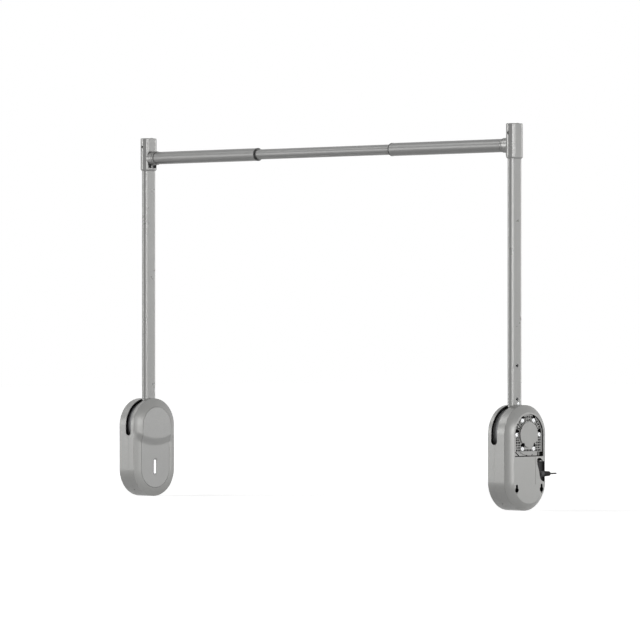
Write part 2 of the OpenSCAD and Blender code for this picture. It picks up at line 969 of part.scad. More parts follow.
// Plug: grip sleeve, ringed strain relief and the barrel in the socket
module power_plug() {
    color(drum_grey) {
        bar_y(plug_y - jack_l, plug_y, jack_r, plug_x, plug_z);
        bar_y(plug_y, plug_y + plug_sleeve_l - plug_edge_t, plug_r, plug_x, plug_z);
        bar_y(plug_y + plug_sleeve_l - plug_edge_t, plug_y + plug_sleeve_l, plug_edge_r, plug_x, plug_z);
    }
    color(soft_black) {
        bar_y(plug_y + plug_sleeve_l, relief_end - relief_tip_l, relief_r - relief_groove_d, plug_x, plug_z);
        for (i = [0:relief_rings_n - 1])
            bar_y(relief_start + relief_pitch * i, relief_start + relief_pitch * (i + 1 / 2),
                relief_r, plug_x, plug_z);
        translate([plug_x, relief_end - relief_tip_l, plug_z])
            rotate([-90, 0, 0])
                cylinder(h = relief_tip_l, r1 = relief_r - relief_groove_d, r2 = relief_tip_r);
    }
}

// Short moulded tail of the lead
module lead_tail() {
    color(soft_black)
        bar_y(relief_end, relief_end + lead_l, lead_r, plug_x, plug_z);
}

// Steel lever between the drum and the arm
module lever() {
    color(steel_grey)
        difference() {
            oval_bar(lever_w, lever_d, lever_foot, lever_top);
            for (i = [0, 1])
                bar_x(arm_d / 2 - set_screw_sink - set_screw_l, arm_d, set_screw_r,
                    0, arm_hole_low + arm_hole_pitch * i);
            bar_x(arm_d / 2 - pan_shank_l, arm_d, pan_shank_r, pan_y, pan_z);
        }
}

// Flat-oval arm tube
module arm() {
    color(silver_grey)
        difference() {
            oval_bar(arm_w, arm_d, arm_foot, arm_top);
            oval_bar(arm_w - 2 * arm_wall, arm_d - 2 * arm_wall, arm_foot - over, arm_top + over);
            for (i = [0, 1])
                bar_x(0, arm_d, arm_hole_r, 0, arm_hole_low + arm_hole_pitch * i);
            bar_x(0, arm_d, pan_shank_r, pan_y, pan_z);
            bar_y(-arm_w, 0, conn_hole_r - shank_slack, 0, conn_top - conn_hole_drop);
        }
}

// Two sunk set screws and one pan head screw in the arm
module arm_screws() {
    color(zinc_white) {
        for (i = [0, 1])
            bar_x(arm_d / 2 - set_screw_sink - set_screw_l, arm_d / 2 - set_screw_sink, set_screw_r,
                0, arm_hole_low + arm_hole_pitch * i);
        bar_x(arm_d / 2 - pan_shank_l, arm_d / 2, pan_shank_r, pan_y, pan_z);
        bar_x(arm_d / 2, arm_d / 2 + pan_h, pan_r, pan_y, pan_z);
    }
}

// Profile of the corner connector: a rounded foot, a straight side and a small round at the top
function conn_profile() =
    let (r = conn_d / 2)
    concat(
        [[0, 0]],
        bulge([r - conn_low_in, 0], [r, conn_low_round], conn_low_sweep, 5),
        bulge([r, conn_h - conn_top_round], [r - conn_top_round, conn_h], 90, 5),
        [[0, conn_h]]
    );

// Corner connector: cap over the arm's end, with the round collar for the rod
module connector() {
    color(silver_grey)
        difference() {
            union() {
                translate([0, 0, conn_low])
                    rotate([0, 0, 90])
                        oval_body(conn_profile(), conn_w - conn_d);
                bar_x(-collar_end, 0, collar_r, 0, reach);
            }
            oval_bar(arm_w + 2 * clip_gap, arm_d + 2 * clip_gap, conn_low - over, arm_top + clip_gap);
            bar_x(-collar_end - over, -conn_crest, stub_r + stub_slack, 0, reach);
            bar_y(-conn_w, 0, conn_hole_r, 0, conn_top - conn_hole_drop);
            translate([0, top_screw_y, arm_top])
                cylinder(h = conn_top, r = top_screw_shank_r);
            for (side = [-1, 1])
                translate([-clip_x - clip_w - clip_slack,
                    side * clip_leg_y - clip_t / 2 - clip_slack, reach - collar_r - over])
                    cube([clip_w + 2 * clip_slack, clip_t + 2 * clip_slack,
                        collar_r + over + clip_bow_z + clip_bow_t]);
            translate([-clip_x - clip_w - clip_slack,
                -clip_leg_y - clip_t / 2 - clip_slack, reach + clip_bow_z - clip_slack])
                cube([clip_w + 2 * clip_slack, 2 * clip_leg_y + clip_t + 2 * clip_slack, collar_r]);
        }
}

// Domed screw on the connector's top
module top_screw() {
    color(silver_grey)
        translate([0, top_screw_y, conn_top]) {
            cylinder(h = top_screw_h / 2, r = top_screw_r);
            translate([0, 0, top_screw_h / 2])
                cylinder(h = top_screw_h / 2, r1 = top_screw_r, r2 = top_screw_r / 2);
            translate([0, 0, -top_screw_shank_l])
                cylinder(h = top_screw_shank_l, r = top_screw_shank_r);
        }
}

// U-shaped clip that holds the rod's end plug in the collar
module rod_clip() {
    color(soft_black)
        translate([-clip_x - clip_w, 0, reach]) {
            for (side = [-1, 1])
                translate([0, side * clip_leg_y - clip_t / 2, -collar_r - clip_under])
                    cube([clip_w, clip_t, collar_r + clip_under + clip_bow_z]);
            translate([0, -clip_leg_y - clip_t / 2, clip_bow_z])
                cube([clip_w, 2 * clip_leg_y + clip_t, clip_bow_t]);
        }
}

// End plug of the rod: stub in the collar, flange, neck and spigot in the tube
module rod_end_plug() {
    color(silver_grey)
        difference() {
            union() {
                bar_x(-flange_near, -conn_crest - stub_tip_gap, stub_r, 0, reach);
                bar_x(-flange_near - flange_t, -flange_near, flange_r, 0, reach);
                bar_x(-tube_near, -flange_near - flange_t, neck_r, 0, reach);
                bar_x(-tube_near - spigot_l, -tube_near, tube_bore_r - spigot_slack, 0, reach);
            }
            for (side = [-1, 1])
                translate([-clip_x - clip_w - clip_slack,
                    side * clip_leg_y - clip_t / 2 - clip_slack, reach - stub_r - over])
                    cube([clip_w + 2 * clip_slack, clip_t + 2 * clip_slack, 2 * (stub_r + over)]);
        }
}

// Outer tube of the rod
module rod_tube() {
    color(silver_grey)
        difference() {
            bar_x(-tube_end, -tube_near, tube_r, 0, reach);
            bar_x(-tube_end - over, over - tube_near, tube_bore_r, 0, reach);
        }
}

// Guide bush in the outer tube's open end
module tube_bush() {
    color(drum_grey)
        difference() {
            union() {
                bar_x(-tube_end - bush_collar_t, -tube_end, tube_r + bush_collar_over, 0, reach);
                bar_x(-tube_end, sleeve_l - tube_end, tube_bore_r - spigot_slack, 0, reach);
            }
            bar_x(-tube_end - bush_collar_t - over, sleeve_l + over - tube_end,
                inner_r + sleeve_slack, 0, reach);
        }
}

// Inner tube of the rod with its shallow lengthwise flutes
module rod_inner_tube() {
    color(silver_grey)
        difference() {
            bar_x(-(wall_span + inner_l) / 2, (inner_l - wall_span) / 2, inner_r, 0, reach);
            bar_x(-(wall_span + inner_l) / 2 - over, (inner_l - wall_span) / 2 + over,
                inner_r - inner_wall, 0, reach);
            for (i = [0:flutes_n - 1])
                translate([0, 0, reach])
                    rotate([flute_turn + i * 360 / flutes_n, 0, 0])
                        bar_x(-(wall_span + inner_l) / 2 - over, (inner_l - wall_span) / 2 + over,
                            flute_r, 0, inner_r + flute_r - flute_depth);
        }
}

// Place of the right side's pieces
module right_side() {
    translate([-wall_gap, 0, 0])
        children();
}

// Place of the left side's mirrored pieces
module left_side() {
    translate([wall_gap - wall_span, 0, 0])
        mirror([1, 0, 0])
            children();
}

right_side() rear_shell();  // right_rear_shell
right_side() rear_cover();  // right_rear_cover
right_side() front_shell();  // right_front_shell
right_side() front_cover();  // right_front_cover
right_side() front_panel();  // right_front_panel
right_side() light_window();  // right_light_window
right_side() light_board();  // right_light_board
right_side() lattice_plate();  // right_lattice_plate
right_side() plate_screws();  // right_plate_screws
right_side() casing_screws();  // right_casing_screws
right_side() pivot_shaft();  // right_pivot_shaft
right_side() gearhead();  // right_gearhead
right_side() motor();  // right_motor
right_side() control_board();  // right_control_board
right_side() power_socket();  // right_power_socket
right_side() drive_pinion();  // right_drive_pinion
right_side() hub_drum();  // right_hub_drum
right_side() hub_bushes();  // right_hub_bushes
right_side() sector_gear();  // right_sector_gear
right_side() lever();  // right_lever
right_side() arm();  // right_arm
right_side() arm_screws();  // right_arm_screws
right_side() connector();  // right_connector
right_side() top_screw();  // right_top_screw
right_side() rod_clip();  // right_rod_clip
right_side() rod_end_plug();  // right_rod_end_plug
right_side() rod_tube();  // right_rod_tube
right_side() tube_bush();  // right_tube_bush
right_side() power_plug();
right_side() lead_tail();
rod_inner_tube();
left_side() rear_shell();  // left_rear_shell
left_side() rear_cover();  // left_rear_cover
left_side() front_shell();  // left_front_shell
left_side() front_cover();  // left_front_cover
left_side() front_panel();  // left_front_panel
left_side() light_window();  // left_light_window
left_side() light_board();  // left_light_board
left_side() lattice_plate();  // left_lattice_plate
left_side() plate_screws();  // left_plate_screws
left_side() casing_screws();  // left_casing_screws
left_side() pivot_shaft();  // left_pivot_shaft
left_side() gearhead();  // left_gearhead
left_side() motor();  // left_motor
left_side() control_board();  // left_control_board
left_side() power_socket();  // left_power_socket
left_side() drive_pinion();  // left_drive_pinion
left_side() hub_drum();  // left_hub_drum
left_side() hub_bushes();  // left_hub_bushes
left_side() sector_gear();  // left_sector_gear
left_side() lever();  // left_lever
left_side() arm();  // left_arm
left_side() arm_screws();  // left_arm_screws
left_side() connector();  // left_connector
left_side() top_screw();  // left_top_screw
left_side() rod_clip();  // left_rod_clip
left_side() rod_end_plug();  // left_rod_end_plug
left_side() rod_tube();  // left_rod_tube
left_side() tube_bush();  // left_tube_bush
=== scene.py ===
import math

import bpy
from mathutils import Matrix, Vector


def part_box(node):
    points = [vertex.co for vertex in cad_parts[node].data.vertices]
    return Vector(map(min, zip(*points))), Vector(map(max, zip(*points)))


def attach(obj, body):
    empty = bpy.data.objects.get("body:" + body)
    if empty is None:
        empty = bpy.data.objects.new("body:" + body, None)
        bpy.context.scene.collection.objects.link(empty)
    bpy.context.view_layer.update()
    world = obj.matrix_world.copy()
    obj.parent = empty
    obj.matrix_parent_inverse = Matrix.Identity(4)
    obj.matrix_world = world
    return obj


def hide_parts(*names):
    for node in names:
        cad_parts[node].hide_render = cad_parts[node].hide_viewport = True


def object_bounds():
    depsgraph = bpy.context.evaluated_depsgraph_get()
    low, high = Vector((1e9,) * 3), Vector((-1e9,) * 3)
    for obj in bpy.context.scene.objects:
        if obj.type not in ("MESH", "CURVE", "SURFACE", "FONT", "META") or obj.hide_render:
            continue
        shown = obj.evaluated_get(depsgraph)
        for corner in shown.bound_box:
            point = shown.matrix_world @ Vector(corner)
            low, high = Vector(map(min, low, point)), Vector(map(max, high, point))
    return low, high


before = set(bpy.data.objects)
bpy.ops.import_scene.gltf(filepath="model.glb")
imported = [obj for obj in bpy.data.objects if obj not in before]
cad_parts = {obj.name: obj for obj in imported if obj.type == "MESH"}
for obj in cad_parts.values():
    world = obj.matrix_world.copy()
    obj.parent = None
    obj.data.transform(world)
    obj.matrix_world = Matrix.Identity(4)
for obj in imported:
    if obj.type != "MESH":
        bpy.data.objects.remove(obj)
cad_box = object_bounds()

# Camera: level, at the height of the arms' lower third, and 46 degrees round towards the right wall,
# far off with a long lens, as the two wall units were photographed.
camera_aim = Vector((-0.6554, 0, 0.2513))
camera_distance = 10.7098
camera_turn = math.radians(45.59)
camera_lens_mm = 262.9
camera_side = Vector((math.sin(camera_turn), -math.cos(camera_turn), 0))
bpy.ops.object.camera_add(
    location=camera_aim + camera_distance * camera_side,
    rotation=(math.pi / 2, 0, camera_turn),
)
camera = bpy.context.object
camera.data.lens = camera_lens_mm
bpy.context.scene.camera = camera
bpy.context.scene.view_settings.view_transform = "Standard"

# Studio: a white room with a pale floor under the two units and five large soft lights: two on the
# front left, one of them high up, and three off the right wall. Cameras and mirrors see it white.
floor_gap = 0.0003
floor_size = 30
white = (1, 1, 1, 1)
room_grey = 0.08


def set_inputs(tree, node, *in_order, **named):
    """Sets a node's inputs, in order or by name, to values, or links them to other nodes' outputs."""
    for key, value in [*enumerate(in_order), *named.items()]:
        socket = node.inputs[key if isinstance(key, int) else key.replace("_", " ")]
        if isinstance(value, bpy.types.NodeSocket):
            tree.links.new(value, socket)
        else:
            socket.default_value = value
    return node


def add_node(tree, kind, *in_order, operation=None, **named):
    """Adds a node to the tree and sets its inputs."""
    node = tree.nodes.new(kind)
    if operation:
        node.operation = operation
    return set_inputs(tree, node, *in_order, **named)


def white_when_seen(tree, seen, otherwise):
    """Mixes in the first shader where a camera, mirror or clear ray looks."""
    rays = add_node(tree, "ShaderNodeLightPath").outputs
    mirror, clear = rays["Is Glossy Ray"], rays["Is Transmission Ray"]
    mirror_or_clear = add_node(tree, "ShaderNodeMath", mirror, clear, operation="MAXIMUM").outputs[0]
    camera_ray = rays["Is Camera Ray"]
    any_look = add_node(tree, "ShaderNodeMath", camera_ray, mirror_or_clear, operation="MAXIMUM")
    shaders = otherwise.outputs[0], seen.outputs[0]
    return add_node(tree, "ShaderNodeMixShader", any_look.outputs[0], *shaders)


room = bpy.data.worlds.new("white_room")
room.use_nodes = True
room.node_tree.nodes.clear()
room_light = add_node(room.node_tree, "ShaderNodeBackground", Color=white, Strength=room_grey)
room_seen = add_node(room.node_tree, "ShaderNodeBackground", Color=white, Strength=1)
room_mix = white_when_seen(room.node_tree, room_seen, room_light)
add_node(room.node_tree, "ShaderNodeOutputWorld", Surface=room_mix.outputs[0])
bpy.context.scene.world = room

bpy.ops.object.select_all(action="DESELECT")
bpy.ops.mesh.primitive_plane_add(size=floor_size, location=(0, 0, cad_box[0].z - floor_gap))
floor = bpy.context.object
floor.name = "floor"
bpy.ops.object.transform_apply()
pale_floor = bpy.data.materials.new("pale_floor")
pale_floor.use_nodes = True
floor_tree = pale_floor.node_tree
floor_tree.nodes.clear()
floor_place = add_node(floor_tree, "ShaderNodeTexCoord").outputs["Object"]
floor_middle = (cad_box[0].x / 2, 0, cad_box[0].z)
floor_away = add_node(floor_tree, "ShaderNodeVectorMath", floor_place, floor_middle, operation="DISTANCE")
floor_reach = add_node(
    floor_tree, "ShaderNodeMapRange", Value=floor_away.outputs["Value"],
    From_Min=0.9, From_Max=2.4, To_Min=0.78, To_Max=1,
)
floor_reach.interpolation_type = "SMOOTHSTEP"
floor_glow = add_node(floor_tree, "ShaderNodeEmission", Strength=floor_reach.outputs["Result"])
floor_paint = add_node(floor_tree, "ShaderNodeBsdfDiffuse", Color=(0.8, 0.8, 0.8, 1))
floor_sum = add_node(floor_tree, "ShaderNodeAddShader", floor_paint.outputs[0], floor_glow.outputs[0])
floor_bounce = add_node(floor_tree, "ShaderNodeBsdfDiffuse", Color=(0.25, 0.25, 0.25, 1))
floor_mix = white_when_seen(floor_tree, floor_sum, floor_bounce)
add_node(floor_tree, "ShaderNodeOutputMaterial", Surface=floor_mix.outputs[0])
floor.data.materials.append(pale_floor)

# Each soft light: turn from the front to the right wall, height in degrees, width, tallness, watts
soft_lights = {
    "light_front_left": (-42, 3, 1.6, 2.8, 85),
    "light_high_left": (-44, 45, 2.5, 2.5, 77),
    "light_right_strip": (76, 3, 1.6, 2.8, 106),
    "light_off_right_wall": (114, 3, 1.9, 2.8, 68),
    "light_far_right": (150, 3, 1.4, 2.8, 70),
}
light_distance = 6
for light_name, (turn, height, width, tallness, watts) in soft_lights.items():
    azimuth = math.radians(turn)
    elevation = math.radians(height)
    flat = math.cos(elevation)
    side = Vector((math.sin(azimuth) * flat, -math.cos(azimuth) * flat, math.sin(elevation)))
    bpy.ops.object.light_add(type="AREA", location=camera_aim + light_distance * side)
    lamp = bpy.context.object
    lamp.name = light_name
    lamp.rotation_euler = side.to_track_quat("Z", "Y").to_euler()
    lamp.data.shape = "RECTANGLE"
    lamp.data.size = width
    lamp.data.size_y = tallness
    lamp.data.energy = watts

# Rear shells: the wall-side halves of the casing bands, die cast in aluminium with their bulkhead and
# screw posts and sprayed silver grey. Tumbling after the casting breaks their edges.
shell_edge_round = 0.0005
silver_paint = (0.385, 0.385, 0.375)
wall_gap = -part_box("right_rear_shell")[0].x
wall_span = -cad_box[0].x


def new_finish(name):
    """A new material, its node tree, its shader and the places on the piece."""
    material = bpy.data.materials.new(name)
    material.use_nodes = True
    tree = material.node_tree
    place = add_node(tree, "ShaderNodeTexCoord").outputs["Object"]
    return material, tree, tree.nodes["Principled BSDF"], place


def noise(tree, place, scale, detail=2):
    """A cloudy share from 0 to 1 over the piece."""
    return add_node(tree, "ShaderNodeTexNoise", Vector=place, Scale=scale, Detail=detail).outputs["Fac"]


def spread(tree, share, low, high):
    """A number from low to high by the share."""
    return add_node(tree, "ShaderNodeMapRange", Value=share, To_Min=low, To_Max=high).outputs["Result"]


def relief(tree, height, strength, depth):
    """Fine bumps by the share, of the given depth."""
    bump = add_node(tree, "ShaderNodeBump", Height=height, Strength=strength, Distance=depth)
    return bump.outputs["Normal"]


def toned(colour, share):
    """The colour made darker or lighter by the share."""
    return (*[c * share for c in colour], 1)


def two_tone(tree, share, dark, light, start=0, end=1):
    """A colour from dark to light, as the share goes from start to end."""
    ramp = add_node(tree, "ShaderNodeValToRGB", share)
    stops = ramp.color_ramp.elements
    stops[0].position, stops[1].position = start, end
    stops[0].color, stops[1].color = dark, light
    return ramp.outputs["Color"]


def sprayed_metal(name, colour, metallic=0.35, roughness=0.37, speck=0.1, grain=0.00004):
    """Fine metal-flake paint: small light and dark specks, a soft unevenness and a faint orange peel."""
    material, tree, shader, place = new_finish(name)
    flakes = noise(tree, place, scale=900, detail=3)
    clouds = noise(tree, place, scale=35, detail=4)
    specks = two_tone(tree, flakes, toned(colour, 1 - speck), toned(colour, 1 + speck), 0.3, 0.7)
    patches = spread(tree, clouds, 0.98, 1.02)
    drift = add_node(tree, "ShaderNodeVectorMath", specks, operation="SCALE", Scale=patches)
    set_inputs(
        tree, shader, Metallic=metallic, Specular_IOR_Level=0.3, Base_Color=drift.outputs["Vector"],
        Roughness=spread(tree, clouds, roughness - 0.02, roughness + 0.02),
        Normal=relief(tree, flakes, 0.2, grain),
    )
    return material


def only(piece):
    """Selects one piece alone."""
    bpy.ops.object.select_all(action="DESELECT")
    piece.select_set(True)
    bpy.context.view_layer.objects.active = piece


def open_mesh(piece):
    """Opens the mesh of one piece, with all of it selected."""
    only(piece)
    bpy.ops.object.mode_set(mode="EDIT")
    bpy.ops.mesh.select_all(action="SELECT")


def close_mesh():
    """Goes back from the mesh to the whole piece."""
    bpy.ops.object.mode_set(mode="OBJECT")


def smoothed(piece, angle=35):
    """Shades one piece smooth over edges flatter than the angle in degrees."""
    only(piece)
    bpy.ops.object.shade_smooth_by_angle(angle=math.radians(angle))


def bevelled(piece, width, angle=40, segments=2):
    """Rounds every edge sharper than the angle, and shades the piece smooth up to it."""
    only(piece)
    bevel = piece.modifiers.new("edge_round", "BEVEL")
    bevel.width = width
    bevel.segments = segments
    bevel.limit_method = "ANGLE"
    bevel.angle_limit = math.radians(angle)
    bevel.harden_normals = False
    bpy.ops.object.modifier_apply(modifier=bevel.name)
    smoothed(piece, min(angle + 15, 35))


def even_shading(piece):
    """Keeps faces square to the wall flat, and leans normals at small rounds to the large faces."""
    for face in piece.data.polygons:
        if abs(face.normal.x) > 0.99999:
            face.use_smooth = False
    only(piece)
    weigh = piece.modifiers.new("even_shading", "WEIGHTED_NORMAL")
    weigh.keep_sharp = True
    bpy.ops.object.modifier_apply(modifier=weigh.name)


def cast_from(node, name, width):
    """A casting with the CAD node's shape, its facets joined into whole faces and its edges broken."""
    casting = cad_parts[node].copy()
    casting.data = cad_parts[node].data.copy()
    casting.data.materials.clear()
    casting.name = casting.data.name = name
    for key in list(casting.keys()):
        del casting[key]
    casting.parent = None
    bpy.context.scene.collection.objects.link(casting)
    open_mesh(casting)
    bpy.ops.mesh.remove_doubles(threshold=0.000002)
    bpy.ops.mesh.dissolve_limited(angle_limit=math.radians(0.3))
    close_mesh()
    bevelled(casting, width)
    return casting


def fit_both_sides(piece, stem, node, body, finish=None):
    """Seats a right-hand piece on its body for its node, and its mirror image on the left."""
    if finish:
        piece.data.materials.append(finish)
    only(piece)
    bpy.ops.object.transform_apply()
    piece.name = piece.data.name = "right_" + stem
    bpy.ops.object.duplicate()
    twin = bpy.context.object
    middle = (-wall_span / 2, 0, 0)
    bpy.ops.transform.mirror(constraint_axis=(True, False, False), center_override=middle)
    bpy.ops.object.transform_apply()
    open_mesh(twin)
    bpy.ops.mesh.flip_normals()
    close_mesh()
    twin.name = twin.data.name = "left_" + stem
    for side, part in (("right_", piece), ("left_", twin)):
        even_shading(part)
        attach(part, side + body)
        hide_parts(side + node)


def two_finishes(piece, first, second, is_first):
    """Gives the faces that pass the test the first finish, and all others the second."""
    piece.data.materials.append(first)
    piece.data.materials.append(second)
    for face in piece.data.polygons:
        face.material_index = 0 if is_first(face) else 1


spray_reach = 0.0012


def on_band(face):
    """The band's outer skin, between the two rounds and along the flanks."""
    centre = face.center
    nearest = min(max(centre.z, -round_drop), 0)
    return math.hypot(centre.y, centre.z - nearest) > unit_radius - spray_reach


round_points = 98


def open_where(piece, is_picked):
    """Opens the mesh with only the vertices selected whose place passes the test."""
    for vertex in piece.data.vertices:
        vertex.select = is_picked(vertex.co)
    for part in (*piece.data.polygons, *piece.data.edges):
        part.select = all(piece.data.vertices[i].select for i in part.vertices)
    bpy.ops.object.mode_set(mode="EDIT")
    bpy.ops.mesh.select_mode(type="VERT")


def lofted(name, centre, along, rings, halves_apart=(0, 0, 0), points=round_points, closed_loop=False):
    """Draws a round skin out from ring to ring, each (radius, distance along the axis), then parts it.

    A radius of zero closes the skin at a pole, and closed_loop joins the last ring to the first.
    halves_apart moves the lower or rear half away, which makes a long oval of the round.
    """
    turns = {"x": (math.pi / 2, 0, math.pi / 2), "y": (math.pi / 2, 0, 0), "z": (0, 0, 0)}
    axis = Vector([direction == along for direction in "xyz"])
    pole = 0.00001
    rings = [(max(radius, pole), distance) for radius, distance in rings]
    if closed_loop:
        rings.append(rings[0])
    start = Vector(centre) + rings[0][1] * axis
    first_radius = rings[0][0]
    bpy.ops.object.select_all(action="DESELECT")
    bpy.ops.mesh.primitive_circle_add(
        vertices=points, radius=first_radius, location=start, rotation=turns[along]
    )
    piece = bpy.context.object
    piece.name = piece.data.name = name
    bpy.ops.object.transform_apply()
    open_mesh(piece)
    for (radius, distance), (next_radius, next_distance) in zip(rings, rings[1:]):
        step = (next_distance - distance) * axis
        bpy.ops.mesh.extrude_region_move(TRANSFORM_OT_translate={"value": step})
        ring_centre = Vector(centre) + next_distance * axis
        scale = next_radius / radius
        bpy.ops.transform.resize(value=(scale,) * 3, center_override=ring_centre)
    close_mesh()
    apart = Vector(halves_apart)
    if apart.length:
        open_where(piece, lambda place: (place - Vector(centre)).dot(apart) > 0)
        bpy.ops.transform.translate(value=apart)
        close_mesh()
    open_mesh(piece)
    bpy.ops.mesh.remove_doubles(threshold=0.00003)
    bpy.ops.mesh.normals_make_consistent(inside=False)
    close_mesh()
    return piece


def cut_with(piece, cutter, how="DIFFERENCE"):
    """Cuts the cutter out of the piece, or joins it on, and takes the cutter away."""
    only(piece)
    tool = piece.modifiers.new("tool", "BOOLEAN")
    tool.operation = how
    tool.solver = "EXACT"
    tool.object = cutter
    bpy.ops.object.modifier_apply(modifier=tool.name)
    bpy.data.objects.remove(cutter)


unit_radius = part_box("right_rear_cover")[1].y
round_drop = -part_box("right_rear_cover")[0].z - unit_radius
casing_paint = sprayed_metal("casing_silver_paint", silver_paint)
# Near-black finish for inner faces, cut edges, lattice cells and arm holes: painted shade, standing in
# for the shade in these recesses.
painted_shade_inside = sprayed_metal("painted_shade_dark_inside", (0.018, 0.018, 0.018), 0.0, 0.6, 0.2, 0.00008)
down = (0, 0, -round_drop)
over = 0.003
seam_half = 0.00015
seam_depth = 0.0014


def open_seam(casting):
    """Cuts the fine shadow line where the two halves of the band meet, in the arm's middle plane."""
    cut_with(casting, lofted(
        "seam_line", (-wall_gap, 0, 0), "x",
        [(unit_radius - seam_depth, -seam_half), (unit_radius + over, -seam_half),
         (unit_radius + over, seam_half), (unit_radius - seam_depth, seam_half)], down, closed_loop=True,
    ))


rear_casting = cast_from("right_rear_shell", "rear_casting", shell_edge_round)
open_seam(rear_casting)
tab_low = (0.034, -0.0595)
tab_high = (0.052, -0.0565)


def on_tab(face):
    """The little shelf that the spray reaches through the notch for the plug."""
    return tab_low[0] < face.center.y < tab_high[0] and tab_low[1] < face.center.z < tab_high[1]


# Faces off the band and the tab get the near-black painted shade.
two_finishes(rear_casting, casing_paint, painted_shade_inside, lambda face: on_band(face) or on_tab(face))
fit_both_sides(rear_casting, "rear_shell_casting", "rear_shell", "unit")

# Front shells: the room-side halves of the bands, cast and sprayed as the rear ones are.
# Four long screws from the bulkhead hold each pair together.
front_casting = cast_from("right_front_shell", "front_casting", shell_edge_round)
open_seam(front_casting)
# Faces off the band get the near-black painted shade.
two_finishes(front_casting, casing_paint, painted_shade_inside, on_band)
fit_both_sides(front_casting, "front_shell_casting", "front_shell", "unit")

# Drive inside the casing: the ground steel shaft, gears and lever, the sintered bronze bushes,
# the zinc-plated screws, the closed gearhead and motor can, and the two circuit boards.
steel_colour = (0.36, 0.37, 0.38)
zinc_colour = (0.82, 0.83, 0.84)
bronze_colour = (0.42, 0.27, 0.12)
can_colour = (0.3, 0.31, 0.33)


def turned_metal(name, colour, roughness, ring_scale=420, metallic=1.0):
    """Bright machined metal with fine tool lines that run round it and a patchy sheen."""
    material, tree, shader, place = new_finish(name)
    stretch = (ring_scale, ring_scale * 0.08, ring_scale * 0.08)
    stretched = add_node(tree, "ShaderNodeMapping", Vector=place, Scale=stretch).outputs["Vector"]
    lines = noise(tree, stretched, scale=6, detail=4)
    set_inputs(
        tree, shader, Metallic=metallic,
        Base_Color=two_tone(tree, lines, toned(colour, 0.86), toned(colour, 1.1), 0.3, 0.75),
        Roughness=spread(tree, lines, roughness - 0.06, roughness + 0.08),
        Normal=relief(tree, lines, 0.3, 0.00003),
    )
    return material


def circuit_board(name, mask_colour, track_colour):
    """Green solder mask with paler copper tracks that show through it as a fine grid."""
    material, tree, shader, place = new_finish(name)
    turned = add_node(tree, "ShaderNodeMapping", Vector=place, Rotation=(0, math.pi / 2, math.pi / 2))
    tracks = add_node(
        tree, "ShaderNodeTexBrick", Vector=turned.outputs["Vector"], Scale=180, Mortar_Size=0.06,
        Color1=toned(mask_colour, 1), Color2=toned(mask_colour, 0.8), Mortar=toned(track_colour, 1),
    )
    set_inputs(
        tree, shader, Coat_Weight=0.4, Base_Color=tracks.outputs["Color"],
        Roughness=spread(tree, noise(tree, place, scale=1200), 0.3, 0.45),
        Normal=relief(tree, tracks.outputs["Fac"], 0.4, 0.00005),
    )
    return material


def finish_node(node, material):
    """Gives a carried-over node its finish."""
    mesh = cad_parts[node].data
    mesh.materials.clear()
    mesh.materials.append(material)


ground_steel = turned_metal("ground_steel", steel_colour, 0.3)
zinc_plate = turned_metal("zinc_plate", zinc_colour, 0.34, 700, 0.6)
sintered_bronze = turned_metal("sintered_bronze", bronze_colour, 0.45)
motor_can = turned_metal("motor_can_steel", can_colour, 0.38, 260)
board_mask = circuit_board("board_mask", (0.012, 0.09, 0.045), (0.05, 0.2, 0.09))
for side in ("right_", "left_"):
    for node in ("pivot_shaft", "drive_pinion", "sector_gear", "lever"):
        finish_node(side + node, ground_steel)
    for node in ("gearhead", "motor"):
        finish_node(side + node, motor_can)
    for node in ("control_board", "light_board"):
        finish_node(side + node, board_mask)
    finish_node(side + "hub_bushes", sintered_bronze)
    finish_node(side + "casing_screws", zinc_plate)

# Hub drums: dark grey cast drums on the pivot shafts, given a light grey coat as painted light that lifts
# them in the shade of the slots. They close the slots from behind, whichever way the arms stand,
# so only their matt rims are seen.
# Light grey on a dark grey drum: painted light against the shade in the slots.
drum_painted_light_colour = (0.45, 0.455, 0.46)
drum_painted_light_coat = sprayed_metal("drum_coat_painted_light", drum_painted_light_colour, 0.1, 0.6, 0.12)
drum = cast_from("right_hub_drum", "drum", 0.0006)
fit_both_sides(drum, "hub_drum_casting", "hub_drum", "lift", drum_painted_light_coat)

# Lattice plates: the gearbox castings behind the wall-side windows, with a flush centre disc,
# ribs in arcs and squares round it, cross ribs between them and a teardrop pocket over every screw.
# The ribs' faces alone are sprayed; the cells get near-black painted shade. A rabbet runs round the rim,
# and low webs stand under the disc.
def outline_block(name, x, depth, points):
    """A block with the given outline in Y and Z, pulled from x by the depth."""
    bpy.ops.object.select_all(action="DESELECT")
    bpy.ops.mesh.primitive_plane_add(size=0.001)
    cutter = bpy.context.object
    cutter.name = name
    open_mesh(cutter)
    bpy.ops.mesh.merge(type="CENTER")
    here = Vector((x, *points[0]))
    bpy.ops.transform.translate(value=here)
    for point in points[1:]:
        there = Vector((x, *point))
        bpy.ops.mesh.extrude_region_move(TRANSFORM_OT_translate={"value": there - here})
        here = there
    bpy.ops.mesh.select_all(action="SELECT")
    bpy.ops.mesh.edge_face_add()
    bpy.ops.mesh.extrude_region_move(TRANSFORM_OT_translate={"value": (depth, 0, 0)})
    bpy.ops.mesh.select_all(action="SELECT")
    bpy.ops.mesh.normals_make_consistent(inside=False)
    close_mesh()
    return cutter


def join_to(piece, others):
    """Joins the other pieces to the first."""
    only(piece)
    for other in others:
        other.select_set(True)
    bpy.ops.object.join()


